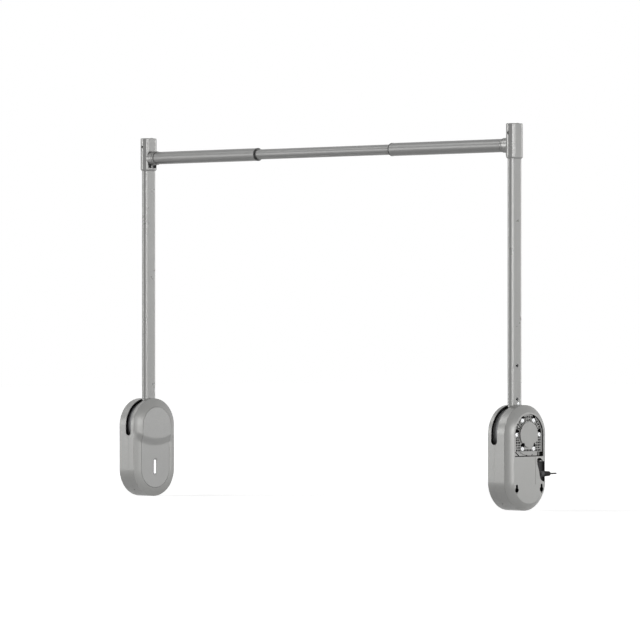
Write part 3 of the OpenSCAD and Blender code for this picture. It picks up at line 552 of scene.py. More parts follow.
rib_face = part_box("right_plate_screws")[1].x
cell_floor = rib_face - 0.008
cell_rows = ((0.0294, 0.0346), (0.036, 0.0417))
cell_turn = 10
cell_margin = 1
screw_circle = 0.0358
screw_places = [
    (screw_circle * math.cos(math.radians(turn)), screw_circle * math.sin(math.radians(turn)))
    for turn in range(0, 360, 60)
]
pocket_reach = 0.0063
pocket_length = 0.0128
cross_rib = 0.0003
rabbet_inside = 0.0441
rabbet_outside = 0.0465
rabbet_depth = 0.0007
lattice = cast_from("right_lattice_plate", "lattice", 0.00025)
rabbet = lofted(
    "rabbet", (rib_face, 0, 0), "x",
    [(rabbet_inside, -rabbet_depth), (rabbet_outside, -rabbet_depth), (rabbet_outside, 0.0015),
     (rabbet_inside, 0.0015)], (0, 0, -0.06), closed_loop=True,
)
cut_with(lattice, rabbet)
teardrop = [(-0.0046, 0.002), (-0.0046, 0.0076), (-0.0024, 0.0132)]
teardrop += [(0.0024, 0.0132), (0.0046, 0.0076), (0.0046, 0.002)]
for aside, above in screw_places:
    drop = [(aside + y, above + z) for y, z in teardrop]
    cut_with(lattice, outline_block("teardrop", cell_floor, 0.014, drop))


def in_pocket(y, z):
    """Whether a point lies in or close to one of the pockets over the screws."""
    for screw_y, screw_z in screw_places:
        aside, above = abs(y - screw_y), z - screw_z
        if math.hypot(aside, above) < pocket_reach or 0 < above < pocket_length and aside < pocket_reach:
            return True
    return False


def cross_rib_between(start, end):
    """A thin rib between two points of the plate, from the cells' floor to just under its face."""
    start, end = Vector(start), Vector(end)
    half = cross_rib * Vector((start.y - end.y, end.x - start.x)).normalized()
    corners = [start + half, end + half, end - half, start - half]
    height = rib_face - 0.0001 - cell_floor
    return outline_block("cross_rib", cell_floor, height, [tuple(c) for c in corners])


cross_ribs = []
for row, (near, far) in enumerate(cell_rows):
    for cell in range(180 // cell_turn):
        first = math.radians(cell_turn * cell + cell_margin)
        last = math.radians(cell_turn * (cell + 1) - cell_margin)
        if (cell + row) % 2:
            first, last = last, first
        start = (near * math.cos(first), near * math.sin(first))
        end = (far * math.cos(last), far * math.sin(last))
        middle = ((start[0] + end[0]) / 2, (start[1] + end[1]) / 2)
        if not in_pocket(*middle):
            cross_ribs.append(cross_rib_between(start, end))
corner_cell = (0.0372, -0.0291)
for corner in (-corner_cell[0], corner_cell[0]):
    for slant in (-0.0024, 0.0024):
        start = (corner - 0.0021, corner_cell[1] - slant)
        end = (corner + 0.0021, corner_cell[1] + slant)
        cross_ribs.append(cross_rib_between(start, end))
# Each web: its depth under the ribs' faces, and how far aside its upper and lower corners are
web_top = -0.0375
web_foot = -0.0462
steps_down = (0.0015, 0.0032, 0.0048, 0.0062)
step_wide = 0.0045
webs = [(steps_down[0], sides) for sides in (
    (-0.0445, -0.0415, -0.0305, -0.0445), (-0.037, -0.006, -0.006, -0.027),
    (-0.002, 0.0205, 0.0105, -0.002), (0.0235, 0.029, 0.029, 0.0135),
)]
for row, sink in enumerate(steps_down[1:], 1):
    far_side = 0.029 + step_wide * row
    near_side = far_side - step_wide
    webs.append((sink, (near_side, far_side, far_side, near_side)))
for sink, sides in webs:
    web = list(zip(sides, (web_top, web_top, web_foot, web_foot)))
    cross_ribs.append(outline_block("web", cell_floor, rib_face - sink - cell_floor, web))
join_to(lattice, cross_ribs)
lattice_paint = sprayed_metal("lattice_cast_silver", (0.35, 0.35, 0.342), 0.35, 0.45, 0.14, 0.00006)


def on_plate_face(face):
    """The faces of the ribs and the disc, the rabbet, and the low webs under the disc."""
    if face.normal.x > 0.9 and face.center.z < web_top + 0.0005:
        return any(abs(rib_face - face.center.x - sink) < 0.0002 for sink in (0, *steps_down))
    return face.center.x > rib_face - 0.0009


# Cells, pocket walls and deep ribs get the near-black painted shade.
two_finishes(lattice, lattice_paint, painted_shade_inside, on_plate_face)
fit_both_sides(lattice, "lattice_casting", "lattice_plate", "unit")

# Plate screws: six zinc-plated pan heads with a small round drive hole, which hold the gearbox
# to the bulkhead from the wall side.
screws_low, screws_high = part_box("right_plate_screws")
head_radius = 0.0047
shank_radius = 0.002
head_height = 0.0024
shank_start = screws_low.x - screws_high.x


def arc(centre, radius, start, end, steps):
    """Points of an arc in (radius, distance) of a ring list, by angle in degrees."""
    turns = [math.radians(start + (end - start) * i / steps) for i in range(steps + 1)]
    return [(centre[0] + radius * math.cos(t), centre[1] + radius * math.sin(t)) for t in turns]


plate_screws = []
for turn, (aside, above) in enumerate(screw_places):
    head_rings = [(0, shank_start), (shank_radius, shank_start), (shank_radius, -head_height)]
    head_rings += [(head_radius, -head_height)]
    head_rings += arc((head_radius - 0.0008, -0.0008), 0.0008, 0, 80, 5)
    head_rings += [(0.0022, 0), (0.0018, -0.0003), (0.0016, -0.0014), (0, -0.0016)]
    screw = lofted(f"plate_screw_{turn}", (screws_high.x, aside, above), "x", head_rings, points=34)
    smoothed(screw)
    plate_screws.append(screw)
plate_screw_set = plate_screws[0]
join_to(plate_screw_set, plate_screws)
fit_both_sides(plate_screw_set, "plate_screw_set", "plate_screws", "unit", zinc_plate)

# Rear covers: moulded covers with a curved bevel and a flat wall face, a round-topped window for
# the gearbox, two keyholes for the wall screws and a notch for the plug. They are clipped to the bands.
rear_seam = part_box("right_rear_cover")[0].x
rim_width = 0.016
rim_sweep = 25
skin = 0.0025
window_radius = 0.0455
window_drop = 0.048
rim_rise = -rear_seam


def bulge(start, end, sweep, steps):
    """Ring list of an arc from start to end that swells outwards through the sweep in degrees."""
    start, end = Vector(start), Vector(end)
    chord = end - start
    radius = chord.length / 2 / math.sin(math.radians(sweep / 2))
    outward = Vector((chord.y, -chord.x)).normalized()
    if outward.dot(Vector((1, 1))) < 0:
        outward = -outward
    middle = (start + end) / 2 - outward * radius * math.cos(math.radians(sweep / 2))
    first = math.degrees(math.atan2(start.y - middle.y, start.x - middle.x))
    last = math.degrees(math.atan2(end.y - middle.y, end.x - middle.x))
    return arc(middle, radius, first, last, steps)


def block(name, low, high):
    """A plain cutting block between two corners."""
    low, high = Vector(low), Vector(high)
    bpy.ops.object.select_all(action="DESELECT")
    bpy.ops.mesh.primitive_cube_add(size=1, location=(low + high) / 2)
    cutter = bpy.context.object
    cutter.name = name
    cutter.scale = high - low
    bpy.ops.object.transform_apply()
    return cutter


def bore(name, centre, along, radius, start, end, halves_apart=(0, 0, 0), points=round_points):
    """A plain round cutter from start to end along its axis."""
    rings = [(0, start), (radius, start), (radius, end), (0, end)]
    return lofted(name, centre, along, rings, halves_apart, points)


rear_axis = (rear_seam, 0, 0)
rear_rings = [(unit_radius - skin, 0)]
rear_rings += bulge((unit_radius, 0.0003), (unit_radius - rim_width, rim_rise), rim_sweep, 14)
rear_rings += [(0, rim_rise), (0, rim_rise - skin)]
inner_end = (unit_radius - rim_width - skin / 2, rim_rise - skin)
rear_rings += bulge((unit_radius - skin, 0.0003), inner_end, rim_sweep, 8)[::-1]
rear_cover = lofted("rear_cover", rear_axis, "x", rear_rings, down, closed_loop=True)
window = bore("window", rear_axis, "x", window_radius, 0, rim_rise + over)
open_where(window, lambda place: place.z < -0.0001)
bpy.ops.transform.resize(value=(1, 1, 0), center_override=(0, 0, -window_drop))
close_mesh()
cut_with(rear_cover, window)
key_spread = 0.079 / 2
key_height = -0.1206
key_entry = 0.0057
key_slot = 0.003
key_rise = 0.0123
key_tip = (0.001, 0.0086)
key_depth = 0.02
key_x = rear_seam + rim_rise / 2
for key_y in (-key_spread, key_spread):
    key_middle = (key_x, key_y, key_height)
    cut_with(rear_cover, bore("entry", key_middle, "x", key_entry, 0, key_depth, points=50))
    slot_top = (key_x, key_y, key_height + key_rise - key_slot)
    slot_drop = (0, 0, key_slot - key_rise)
    cut_with(rear_cover, bore("slot", slot_top, "x", key_slot, 0, key_depth, slot_drop, 34))
    tip_low = (key_x, key_y - key_tip[0], key_height - key_tip[1])
    cut_with(rear_cover, block("tip", tip_low, (key_x + key_depth, key_y + key_tip[0], key_height)))
notch_round = 0.0055
notch = arc((0.0305, -0.057), notch_round, 75, 180, 7)
notch += [(0.026, -0.0655), (0.0298, -0.0755), (0.0323, -0.0835), (0.0338, -0.093), (0.036, -0.0975)]
notch += [(0.0395, -0.1012), (0.045, -0.1035), (0.07, -0.1035), (0.07, -0.0585), (0.0435, -0.0585)]
notch += [(0.0412, -0.0555), (0.038, -0.0528), (0.035, -0.0518)]
cut_with(rear_cover, outline_block("notch", rear_seam - over, rim_rise + 2 * over, notch))
cut_with(rear_cover, block("groove", (-0.0005, 0.0196, -0.109), (0.01, 0.0204, -0.0495)))
bevelled(rear_cover, 0.0005, 17)
cover_skin = bulge((unit_radius, 0), (unit_radius - rim_width, rim_rise), rim_sweep, 40)


def on_cover(face):
    """The cover's outer skin: the flat wall face, the window's edge and the curved bevel."""
    centre = face.center
    radius = math.hypot(centre.y, centre.z - min(max(centre.z, -round_drop), 0))
    rise = centre.x - rear_seam
    by_window = abs(math.hypot(centre.y, max(centre.z, 0)) - window_radius) < 0.0007
    if by_window and centre.z > -window_drop - 0.0007 and face.normal.x > -0.1:
        return rise > rim_rise - skin - 0.0003
    if radius <= unit_radius - rim_width:
        return rise > rim_rise - 0.0006
    if face.normal.x <= -0.1:
        return False
    return any(math.hypot(radius - r, rise - h) < spray_reach for r, h in cover_skin)


# The inside and the cut edges of the cover get the near-black painted shade.
two_finishes(rear_cover, casing_paint, painted_shade_inside, on_cover)
fit_both_sides(rear_cover, "rear_cover_moulding", "rear_cover", "unit")

# Front covers: moulded covers with a bevelled ring that steps down with the panel clipped inside it.
# Inside they carry a floor for the panel and the boss of the pivot shaft.
front_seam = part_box("right_front_shell")[0].x
ring_width = 0.0205
ring_sweep = 14
low_rise = 0.0055
high_rise = 0.0115
panel_gap = 0.00035
panel_depth = 0.0024
floor_depth = 0.0044
step_middle = -0.038
step_height = 0.02
step_bow = 0.12
step_bottom = step_middle - 0.013
step_top = step_middle + 0.033
step_rows = 30
panel_radius = unit_radius - ring_width


def skin_rise(radius, rise):
    """How far the bevelled ring stands out from the seam at a radius."""
    if radius <= panel_radius + 0.00001:
        return rise
    points = bulge((unit_radius, 0), (panel_radius, rise), ring_sweep, 40)
    for (r0, h0), (r1, h1) in zip(points, points[1:]):
        if r1 <= radius <= r0:
            return h0 + (h1 - h0) * (r0 - radius) / (r0 - r1)
    return 0.0


def step_share(y, z):
    """One above the bowed step, zero below it, and a soft S between them."""
    reach = math.hypot(y, z - step_bow - step_middle)
    share = (reach - step_bow) / step_height + 0.5
    share = min(max(share, 0), 1)
    return (1 + math.cos(math.pi * share)) / 2


def raise_above_step(piece):
    """Cuts level rows through the piece at the step, then pushes its upper half out, less at the seam."""
    open_mesh(piece)
    for row in range(step_rows + 1):
        level = step_bottom + (step_top - step_bottom) * row / step_rows
        bpy.ops.mesh.select_all(action="SELECT")
        bpy.ops.mesh.bisect(plane_co=(0, 0, level), plane_no=(0, 0, 1))
    close_mesh()
    height = high_rise - low_rise
    group = piece.vertex_groups.new(name="above_the_step")
    for vertex in piece.data.vertices:
        y, z = vertex.co.y, vertex.co.z
        radius = math.hypot(y, z - min(max(z, -round_drop), 0))
        share = (skin_rise(radius, high_rise) - skin_rise(radius, low_rise)) / height
        group.add([vertex.index], step_share(y, z) * share, "REPLACE")
    push = piece.modifiers.new("step", "DISPLACE")
    push.direction = "X"
    push.strength = -height
    push.mid_level = 0
    push.vertex_group = group.name
    bpy.ops.object.modifier_apply(modifier=push.name)
    piece.vertex_groups.clear()


front_axis = (front_seam, 0, 0)
ring_rings = [(unit_radius - skin, 0), (unit_radius - 0.0003, 0)]
well_radius = panel_radius + panel_gap
ring_bevel = bulge((unit_radius, 0.0003), (well_radius + 0.0004, low_rise), ring_sweep, 16)
ring_rings += [(r, -h) for r, h in ring_bevel]
floor_front = panel_depth - low_rise
floor_back = floor_depth - low_rise
floor_steps = 12
ring_rings += [(well_radius, -low_rise + 0.0004), (well_radius, floor_front)]
ring_rings += [(r * well_radius / floor_steps, floor_front) for r in range(floor_steps - 1, -1, -1)]
ring_rings += [(r * panel_radius / floor_steps, floor_back) for r in range(floor_steps)]
ring_rings += [(panel_radius, floor_back), (unit_radius - skin - 0.004, -0.0008)]
front_ring = lofted("front_ring", front_axis, "x", ring_rings, down, closed_loop=True)
raise_above_step(front_ring)
smoothed(front_ring)
light_low, light_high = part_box("right_light_window")
light_middle = (light_low.z + light_high.z) / 2
light_radius = 0.003
light_run = 0.033 - 2 * light_radius
light_top = light_middle + light_run / 2
light_drop = (0, 0, -light_run)
well_axis = (front_seam - 0.02, 0, light_top)
cut_with(front_ring, bore("light_well", well_axis, "x", light_radius, 0, 0.03, light_drop, 50))
boss_bore = 0.01005
boss_radius = 0.0125
boss_front = front_seam - high_rise + floor_depth - 0.0005
boss_back = -wall_gap - 0.0125
shaft_boss = lofted(
    "shaft_boss", (0, 0, 0), "x",
    [(boss_bore, boss_front), (boss_bore, boss_back),
     (boss_radius, boss_back), (boss_radius, boss_front)], closed_loop=True,
)
join_to(front_ring, [shaft_boss])
smoothed(front_ring)
fit_both_sides(front_ring, "front_cover_moulding", "front_cover", "unit", casing_paint)

# Front panels: thin moulded covers that clip on the floor of the ring. Each has the bowed step across
# it and a shallow dish round the light.
panel_thickness = 0.0022
panel_back = panel_thickness - low_rise
panel_rings = [(0, panel_back), (panel_radius - 0.0004, panel_back)]
panel_rings += [(panel_radius, panel_back - 0.0004), (panel_radius, -low_rise + 0.0005)]
panel_rings += [(panel_radius - 0.0002, -low_rise + 0.0001), (panel_radius - 0.0006, -low_rise)]
panel_rings += [(r * panel_radius / 18, -low_rise) for r in range(17, -1, -1)]
panel = lofted("panel", front_axis, "x", panel_rings, down)
raise_above_step(panel)
border = 0.0046
recess_sink = 0.0017
front_face = front_seam - low_rise
light_axis = (front_face, 0, light_top)
recess = lofted(
    "recess", light_axis, "x",
    [(0, -over), (light_radius + border, -over), (light_radius + border, 0),
     (light_radius + 0.0004, recess_sink), (0, recess_sink)], light_drop, points=50,
)
cut_with(panel, recess)
cut_with(panel, bore("opening", light_axis, "x", light_radius, -over, 2 * over, light_drop, 50))
smoothed(panel, 30)
panel_paint = sprayed_metal("panel_silver_paint", (0.41, 0.41, 0.403), 0.3, 0.42, 0.12, 0.00005)
fit_both_sides(panel, "front_panel_moulding", "front_panel", "unit", panel_paint)

# Light windows: milky lenses of moulded opal plastic, which spread the lamps' light. They are pressed
# into the panels' openings from inside.
lens_rings = [(0, light_high.x - front_face), (light_radius - 0.0001, light_high.x - front_face)]
lens_rings += [(light_radius - 0.0001, recess_sink + 0.0004), (light_radius - 0.0004, recess_sink)]
lens_rings += [(0.0015, recess_sink - 0.0002), (0, recess_sink - 0.00025)]
lens = lofted("lens", light_axis, "x", lens_rings, light_drop, points=50)
smoothed(lens, 40)


def glowing_lens(name, glow):
    """Opal plastic, lit from behind, in faintly cloudy white."""
    material, tree, shader, place = new_finish(name)
    cloud = two_tone(tree, noise(tree, place, scale=120), (0.86, 0.88, 0.9, 1), white)
    set_inputs(tree, shader, Roughness=0.25, Base_Color=cloud)
    set_inputs(tree, shader, Emission_Color=cloud, Emission_Strength=glow)
    return material


fit_both_sides(lens, "light_lens", "light_window", "unit", glowing_lens("opal_lens", 1.0))

# Power sockets: blocks of black moulded plastic with a barrel inlet, set in the covers' notches.
# Only the right one has its plug in, as photographed.
black_colour = (0.012, 0.012, 0.012)


def moulded_plastic(name, colour, roughness=0.55):
    """Moulded plastic with a fine spark-eroded grain and slight shine marks."""
    material, tree, shader, place = new_finish(name)
    pits = noise(tree, place, scale=1600)
    marks = noise(tree, place, scale=60, detail=5)
    set_inputs(
        tree, shader, Specular_IOR_Level=0.25,
        Base_Color=two_tone(tree, marks, toned(colour, 0.8), toned(colour, 1.25)),
        Roughness=spread(tree, marks, roughness - 0.08, roughness + 0.08),
        Normal=relief(tree, pits, 0.4, 0.00005),
    )
    return material


black_plastic = moulded_plastic("black_plastic", black_colour)
socket = cast_from("right_power_socket", "socket", 0.0006)
fit_both_sides(socket, "power_socket_block", "power_socket", "unit", black_plastic)

# Power plug: a grey grip sleeve over a barrel contact, with a black ringed strain relief that
# tapers down to the thin lead, all moulded in one.
plug_low, plug_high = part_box("power_plug")
plug_middle = Vector(((plug_low.x + plug_high.x) / 2, 0, (plug_low.z + plug_high.z) / 2))
plug_radius = (plug_high.x - plug_low.x) / 2
barrel_end = plug_low.y
socket_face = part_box("right_power_socket")[1].y
relief_end = plug_high.y
grip_end = socket_face + 0.0102
barrel_radius = 0.00275
plug_rings = [(0, barrel_end), (0.0024, barrel_end), (barrel_radius, barrel_end + 0.0004)]
plug_rings += [(barrel_radius, socket_face)]
plug_rings += [(plug_radius - 0.0006, socket_face), (plug_radius, socket_face + 0.0006)]
for i in range(3):
    grip = socket_face + 0.0018 + 0.0023 * i
    plug_rings += [(plug_radius, grip), (plug_radius - 0.0003, grip + 0.0004)]
    plug_rings += [(plug_radius - 0.0003, grip + 0.0009), (plug_radius, grip + 0.0013)]
plug_rings += [(plug_radius, grip_end - 0.0011), (plug_radius - 0.0005, grip_end - 0.0003)]
plug_rings += [(0.0058, grip_end)]
relief_ribs = 7
rib_pitch = 0.003
for i in range(relief_ribs):
    rib = grip_end + rib_pitch * i
    size = 0.0062 - 0.00014 * i
    plug_rings += [(size - 0.0002, rib), (size, rib + 0.0003), (size, rib + 0.0013)]
    plug_rings += [(size - 0.0002, rib + 0.0016), (size - 0.0008, rib + 0.0018)]
    plug_rings += [(size - 0.0008, rib + 0.0028)]
plug_rings += [(0.0044, relief_end - 0.0036), (0.0032, relief_end - 0.0004), (0.0028, relief_end)]
plug_rings += [(0, relief_end)]
plug = lofted("power_plug_moulding", plug_middle, "y", plug_rings)
smoothed(plug, 40)
grip_grey = moulded_plastic("grip_grey_plastic", (0.095, 0.096, 0.098))
two_finishes(plug, grip_grey, black_plastic, lambda face: face.center.y <= grip_end)
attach(plug, "right_unit")
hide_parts("power_plug")

# Lead tail: the first stretch of the thin lead, in black soft plastic over its wires. It is moulded
# stiff into the strain relief.
tail_low, tail_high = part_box("lead_tail")
tail_radius = (tail_high.x - tail_low.x) / 2
chamfer = 0.0003
tail_rings = [(0, tail_low.y), (tail_radius, tail_low.y), (tail_radius, tail_high.y - 0.0004)]
tail_rings += [(tail_radius - chamfer, tail_high.y), (0, tail_high.y)]
tail = lofted("lead_tail_moulding", plug_middle, "y", tail_rings, points=26)
smoothed(tail, 40)
tail.data.materials.append(black_plastic)
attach(tail, "right_unit")
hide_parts("lead_tail")

# Arms: flat-oval aluminium tubes, pushed over the levers and sprayed like the casings. The wall side
# of each has two screw holes with a countersunk edge.
arm_low, arm_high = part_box("right_arm")
arm_thick = (arm_high.x - arm_low.x) / 2
arm_wide = (arm_high.y - arm_low.y) / 2
arm_skin = 0.0015
arm_middle = (-wall_gap, -(arm_wide - arm_thick), 0)
arm_apart = (0, 2 * (arm_wide - arm_thick), 0)
arm_rings = [(arm_thick - arm_skin, arm_low.z), (arm_thick - chamfer, arm_low.z)]
arm_rings += [(arm_thick, arm_low.z + chamfer), (arm_thick, arm_high.z)]
arm_rings += [(arm_thick - arm_skin, arm_high.z)]
arm = lofted("arm", arm_middle, "z", arm_rings, arm_apart, closed_loop=True)
hole_radius = 0.0034
hole_heights = (0.077, 0.151)
for height in hole_heights:
    hole = lofted(
        "hole", (-wall_gap, 0, height), "x",
        [(0, 0), (hole_radius, 0), (hole_radius, arm_thick - 0.0005),
         (hole_radius + 0.0008, arm_thick + 0.0003), (0, arm_thick + 0.0003)], points=50,
    )
    cut_with(arm, hole)
smoothed(arm, 30)
arm_paint = sprayed_metal("arm_silver_paint", (0.295, 0.295, 0.289), 0.5, 0.28, 0.09, 0.00003)


def on_arm_skin(face):
    """The arm's sprayed outside, without the bore and the screw holes."""
    centre = face.center - Vector(arm_middle)
    centre.y -= min(max(centre.y, 0), arm_apart[1])
    return math.hypot(centre.x, centre.y) > arm_thick - 0.00035


# The bore and the screw holes get the near-black painted shade.
two_finishes(arm, arm_paint, painted_shade_inside, on_arm_skin)
fit_both_sides(arm, "arm_tube", "arm", "lift")

# Arm screws: two blackened steel set screws deep in the arm's holes and a zinc-plated pan head near its
# foot. All three are driven into the lever inside the arm.
set_sink = 0.0025
set_length = 0.008
set_radius = 0.0023
set_screws = []
for height in hole_heights:
    face = arm_thick - set_sink
    set_rings = [(0, face - set_length), (set_radius, face - set_length), (set_radius, face - chamfer)]
    set_rings += [(set_radius - chamfer, face), (0.0012, face)]
    set_rings += [(0.0011, face - 0.002), (0, face - 0.002)]
    set_screws.append(lofted("set_screw", (-wall_gap, 0, height), "x", set_rings, points=34))
black_steel = turned_metal("blackened_steel", (0.02, 0.02, 0.02), 0.5, 500, 0.4)
pan_middle = (arm_high.x, 0.0035, 0.0675)
pan_rings = [(0, -0.006), (0.0018, -0.006), (0.0018, 0), (0.0032, 0), (0.0032, 0.0003)]
pan_rings += [(0.0028, 0.0006), (0.002, 0.00077), (0.0011, 0.0008), (0.0009, 0.0001), (0, 0)]
set_screws.append(lofted("pan_screw", pan_middle, "x", pan_rings, points=34))
arm_screw_set = set_screws[0]
join_to(arm_screw_set, set_screws)
smoothed(arm_screw_set)
two_finishes(arm_screw_set, black_steel, zinc_plate, lambda face: face.center.z > pan_middle[2] + 0.005)
fit_both_sides(arm_screw_set, "arm_screw_set", "arm_screws", "lift")

# Corner connectors: die-cast caps over the arms' upper ends with a round collar for the rod,
# a screw hole on the front edge and a soft round at the foot and the top.
conn_low, conn_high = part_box("right_connector")
conn_thick = 0.012
conn_wide = conn_high.y
tube_low, tube_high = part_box("right_rod_tube")
reach = (tube_low.z + tube_high.z) / 2
conn_middle = (-wall_gap, -(conn_wide - conn_thick), 0)
conn_apart = (0, 2 * (conn_wide - conn_thick), 0)
conn_rings = [(0, conn_low.z)]
conn_rings += bulge((conn_thick - 0.003, conn_low.z), (conn_thick, conn_low.z + 0.004), 50, 6)
conn_rings += arc((conn_thick - 0.002, conn_high.z - 0.002), 0.002, 0, 90, 7)
conn_rings += [(0, conn_high.z)]
connector = lofted("connector", conn_middle, "z", conn_rings, conn_apart)
collar_radius = 0.01675
collar_end = -0.026
collar_rings = [(0, 0), (collar_radius, 0)]
for line in (-0.0185, -0.0215):
    collar_rings += [(collar_radius, line), (collar_radius - 0.00025, line - 0.0002)]
    collar_rings += [(collar_radius - 0.00025, line - 0.0005), (collar_radius, line - 0.0007)]
collar_rings += [(collar_radius, collar_end + 0.0008), (collar_radius - 0.0008, collar_end)]
collar_rings += [(0, collar_end)]
rod_axis = (-wall_gap, 0, reach)
collar = lofted("collar", rod_axis, "x", collar_rings)
cut_with(connector, collar, "UNION")
socket_gap = 0.0002
bore_radius, bore_end = arm_thick + socket_gap, arm_high.z + socket_gap
bore_foot = conn_low.z - over
cut_with(connector, bore("arm_bore", arm_middle, "z", bore_radius, bore_foot, bore_end, arm_apart))
stub_gap = 0.0001
stub_radius = 0.009
bore_radius = stub_radius + stub_gap
cut_with(connector, bore("stub_bore", rod_axis, "x", bore_radius, collar_end - over, -conn_thick))
side_hole = lofted(
    "side_hole", (-wall_gap, 0, conn_high.z - 0.021), "y",
    [(0, -0.03), (0.0035, -0.03), (0.0033, -conn_wide + 0.0002), (0.0025, -conn_wide + 0.001),
     (0.0025, 0), (0, 0)], points=50,
)
cut_with(connector, side_hole)
clip_low, clip_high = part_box("right_rod_clip")
clip_gap = 0.0002
leg = 0.0022
leg_aside = 0.008


def cut_leg_slots(piece, low, high):
    """Cuts the slots for the clip's two legs between two heights, a little wider than the legs."""
    for leg_y in (-leg_aside, leg_aside):
        cut_with(piece, block(
            "leg_slot",
            (clip_low.x - clip_gap, leg_y - leg / 2 - clip_gap, low),
            (clip_high.x + clip_gap, leg_y + leg / 2 + clip_gap, high),
        ))


cut_leg_slots(connector, reach - collar_radius - over, clip_high.z)
cut_with(connector, block(
    "bow_slot",
    (clip_low.x - clip_gap, clip_low.y - clip_gap, clip_high.z - 0.0026),
    (clip_high.x + clip_gap, clip_high.y + clip_gap, reach + collar_radius + over),
))
bevelled(connector, 0.0003, 35)
fit_both_sides(connector, "corner_connector", "connector", "lift", arm_paint)

# Top screws: low domed steel screws in the connectors' top faces, driven in from above and sprayed
# with the connectors.
dome_low, dome_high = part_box("right_top_screw")
dome_radius = 0.0053
dome_middle = (-wall_gap, (dome_low.y + dome_high.y) / 2, 0)
dome_height = dome_high.z - conn_high.z
dome_rings = [(0, dome_low.z), (0.002, dome_low.z), (0.002, conn_high.z), (dome_radius, conn_high.z)]
dome_rings += [(dome_radius * r, conn_high.z + dome_height * h) for r, h in arc((0, 0), 1, 10, 80, 7)]
dome_rings += [(0, dome_high.z)]
dome = lofted("dome", dome_middle, "z", dome_rings, points=50)
smoothed(dome, 40)
fit_both_sides(dome, "top_screw_dome", "top_screw", "lift", arm_paint)

# Rod clips: black sprung U clips that drop over the rod's stubs in the collars and show as two
# rounded legs below them.
clip_points = [
    (clip_low.y, clip_low.z), (clip_low.y, clip_high.z), (clip_high.y, clip_high.z),
    (clip_high.y, clip_low.z), (clip_high.y - leg, clip_low.z),
    (clip_high.y - leg, clip_high.z - 0.0024), (clip_low.y + leg, clip_high.z - 0.0024),
    (clip_low.y + leg, clip_low.z),
]
clip = outline_block("clip", clip_low.x, clip_high.x - clip_low.x, clip_points)
bevelled(clip, 0.0008, 35, 3)
fit_both_sides(clip, "rod_clip_spring", "rod_clip", "lift", black_plastic)

# Rod end plugs: turned aluminium plugs, pressed into the outer tubes, each with a flange, a neck
# and the stub that turns in the collar.
end_low, end_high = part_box("right_rod_end_plug")
flange_radius = (end_high.y - end_low.y) / 2
flange_near = -0.027
flange_far = -0.031
tube_near = tube_high.x + wall_gap
spigot_end = end_low.x + wall_gap
spigot_radius = 0.01345
neck_radius = 0.014
stub_end = end_high.x + wall_gap
end_rings = [(0, stub_end), (stub_radius - 0.0005, stub_end), (stub_radius, stub_end - 0.0005)]
end_rings += [(stub_radius, flange_near), (flange_radius - 0.0004, flange_near)]
end_rings += [(flange_radius, flange_near - 0.0004), (flange_radius, flange_far + 0.0008)]
end_rings += [(flange_radius - 0.0008, flange_far), (neck_radius, flange_far), (neck_radius, tube_near)]
end_rings += [(spigot_radius, tube_near), (spigot_radius, spigot_end + 0.0005)]
end_rings += [(spigot_radius - 0.0005, spigot_end), (0, spigot_end)]
end_plug = lofted("end_plug", rod_axis, "x", end_rings)
cut_leg_slots(end_plug, reach - 0.012, reach + 0.012)
smoothed(end_plug)
fit_both_sides(end_plug, "rod_end_turning", "rod_end_plug", "lift", arm_paint)

# Outer rod tubes: drawn aluminium tubes, sprayed silver, with softly broken ends. Each is pressed onto
# the spigot of its end plug.
tube_radius = (tube_high.y - tube_low.y) / 2
tube_bore = 0.0135
tube_far = tube_low.x + wall_gap
tube_rings = [(tube_bore, tube_near), (tube_radius - chamfer, tube_near)]
tube_rings += [(tube_radius, tube_near - chamfer)]
tube_rings += [(tube_radius, tube_near + (tube_far - tube_near) * i / 6) for i in range(1, 6)]
tube_rings += [(tube_radius, tube_far + chamfer), (tube_radius - chamfer, tube_far)]
tube_rings += [(tube_bore, tube_far)]
outer_tube = lofted("outer_tube", rod_axis, "x", tube_rings, closed_loop=True)
smoothed(outer_tube)


def drawn_tube_paint(name, colour):
    """Satin silver on a drawn tube: faint lines along it under the fine metal flakes."""
    material = sprayed_metal(name, colour, 0.3, 0.36, 0.07, 0.00002)
    tree = material.node_tree
    place = add_node(tree, "ShaderNodeTexCoord").outputs["Object"]
    drawn = add_node(tree, "ShaderNodeMapping", Vector=place, Scale=(2, 500, 500)).outputs["Vector"]
    lines = noise(tree, drawn, scale=1, detail=3)
    set_inputs(tree, tree.nodes["Principled BSDF"], Roughness=spread(tree, lines, 0.34, 0.4))
    return material


tube_paint = drawn_tube_paint("tube_silver_paint", (0.3, 0.3, 0.295))
fit_both_sides(outer_tube, "outer_rod_tube", "rod_tube", "lift", tube_paint)

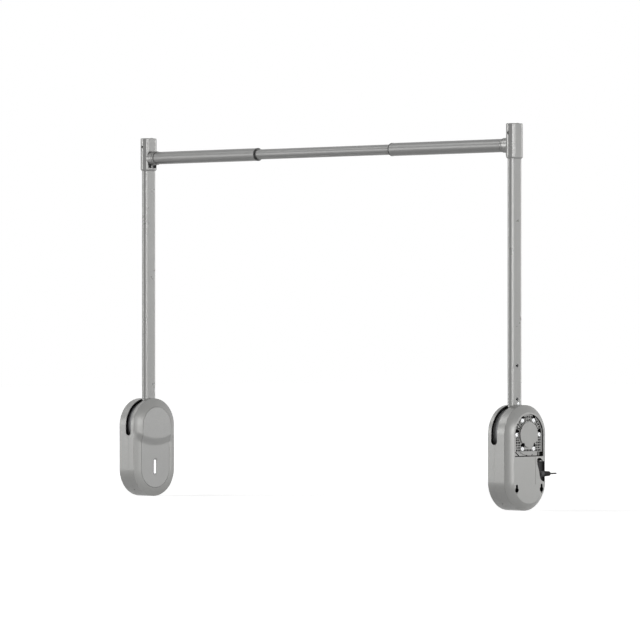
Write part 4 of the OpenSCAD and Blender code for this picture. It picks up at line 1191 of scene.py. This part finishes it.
# Tube bushes: guides of grey moulded acetal with a low collar, pressed into the outer tubes' open ends.
# The inner tube slides in them.
bush_low, bush_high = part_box("right_tube_bush")
bush_radius = (bush_high.y - bush_low.y) / 2
bush_far = bush_low.x + wall_gap
sleeve_far = bush_high.x + wall_gap
slide_radius = 0.01181
bush_rings = [(slide_radius, bush_far), (bush_radius - 0.0008, bush_far)]
bush_rings += [(bush_radius, bush_far + 0.0008), (bush_radius, tube_far - chamfer)]
bush_rings += [(bush_radius - chamfer, tube_far), (spigot_radius, tube_far)]
bush_rings += [(spigot_radius, sleeve_far), (slide_radius, sleeve_far)]
tube_bush = lofted("tube_bush", rod_axis, "x", bush_rings, closed_loop=True)
smoothed(tube_bush)
bush_plastic = moulded_plastic("bush_grey_plastic", (0.1, 0.1, 0.1), 0.45)
fit_both_sides(tube_bush, "tube_guide_bush", "tube_bush", "lift", bush_plastic)

# Inner rod tube: one long drawn aluminium tube, sprayed like the outer ones, with four shallow flutes.
# It is free to slide in both outer tubes.
inner_low, inner_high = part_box("rod_inner_tube")
inner_radius = 0.01175
inner_bore = 0.01045
flute_radius = 0.0016
flute_depth = 0.00045
inner_middle = ((inner_low.x + inner_high.x) / 2, 0, reach)
half_length = (inner_high.x - inner_low.x) / 2
inner_rings = [(inner_bore, -half_length), (inner_radius - chamfer, -half_length)]
inner_rings += [(inner_radius, -half_length + chamfer)]
inner_rings += [(inner_radius, half_length * i / 4) for i in range(-3, 4)]
inner_rings += [(inner_radius, half_length - chamfer), (inner_radius - chamfer, half_length)]
inner_rings += [(inner_bore, half_length)]
inner_tube = lofted("inner_rod_tube", inner_middle, "x", inner_rings, closed_loop=True)
for turn in range(4):
    angle = math.radians(40 + 90 * turn)
    off = inner_radius + flute_radius - flute_depth
    flute_middle = (inner_middle[0], -off * math.sin(angle), reach + off * math.cos(angle))
    far = half_length + over
    cut_with(inner_tube, bore("flute", flute_middle, "x", flute_radius, -far, far, points=26))
smoothed(inner_tube, 22)
inner_tube.data.materials.append(tube_paint)
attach(inner_tube, "rod")
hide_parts("rod_inner_tube")
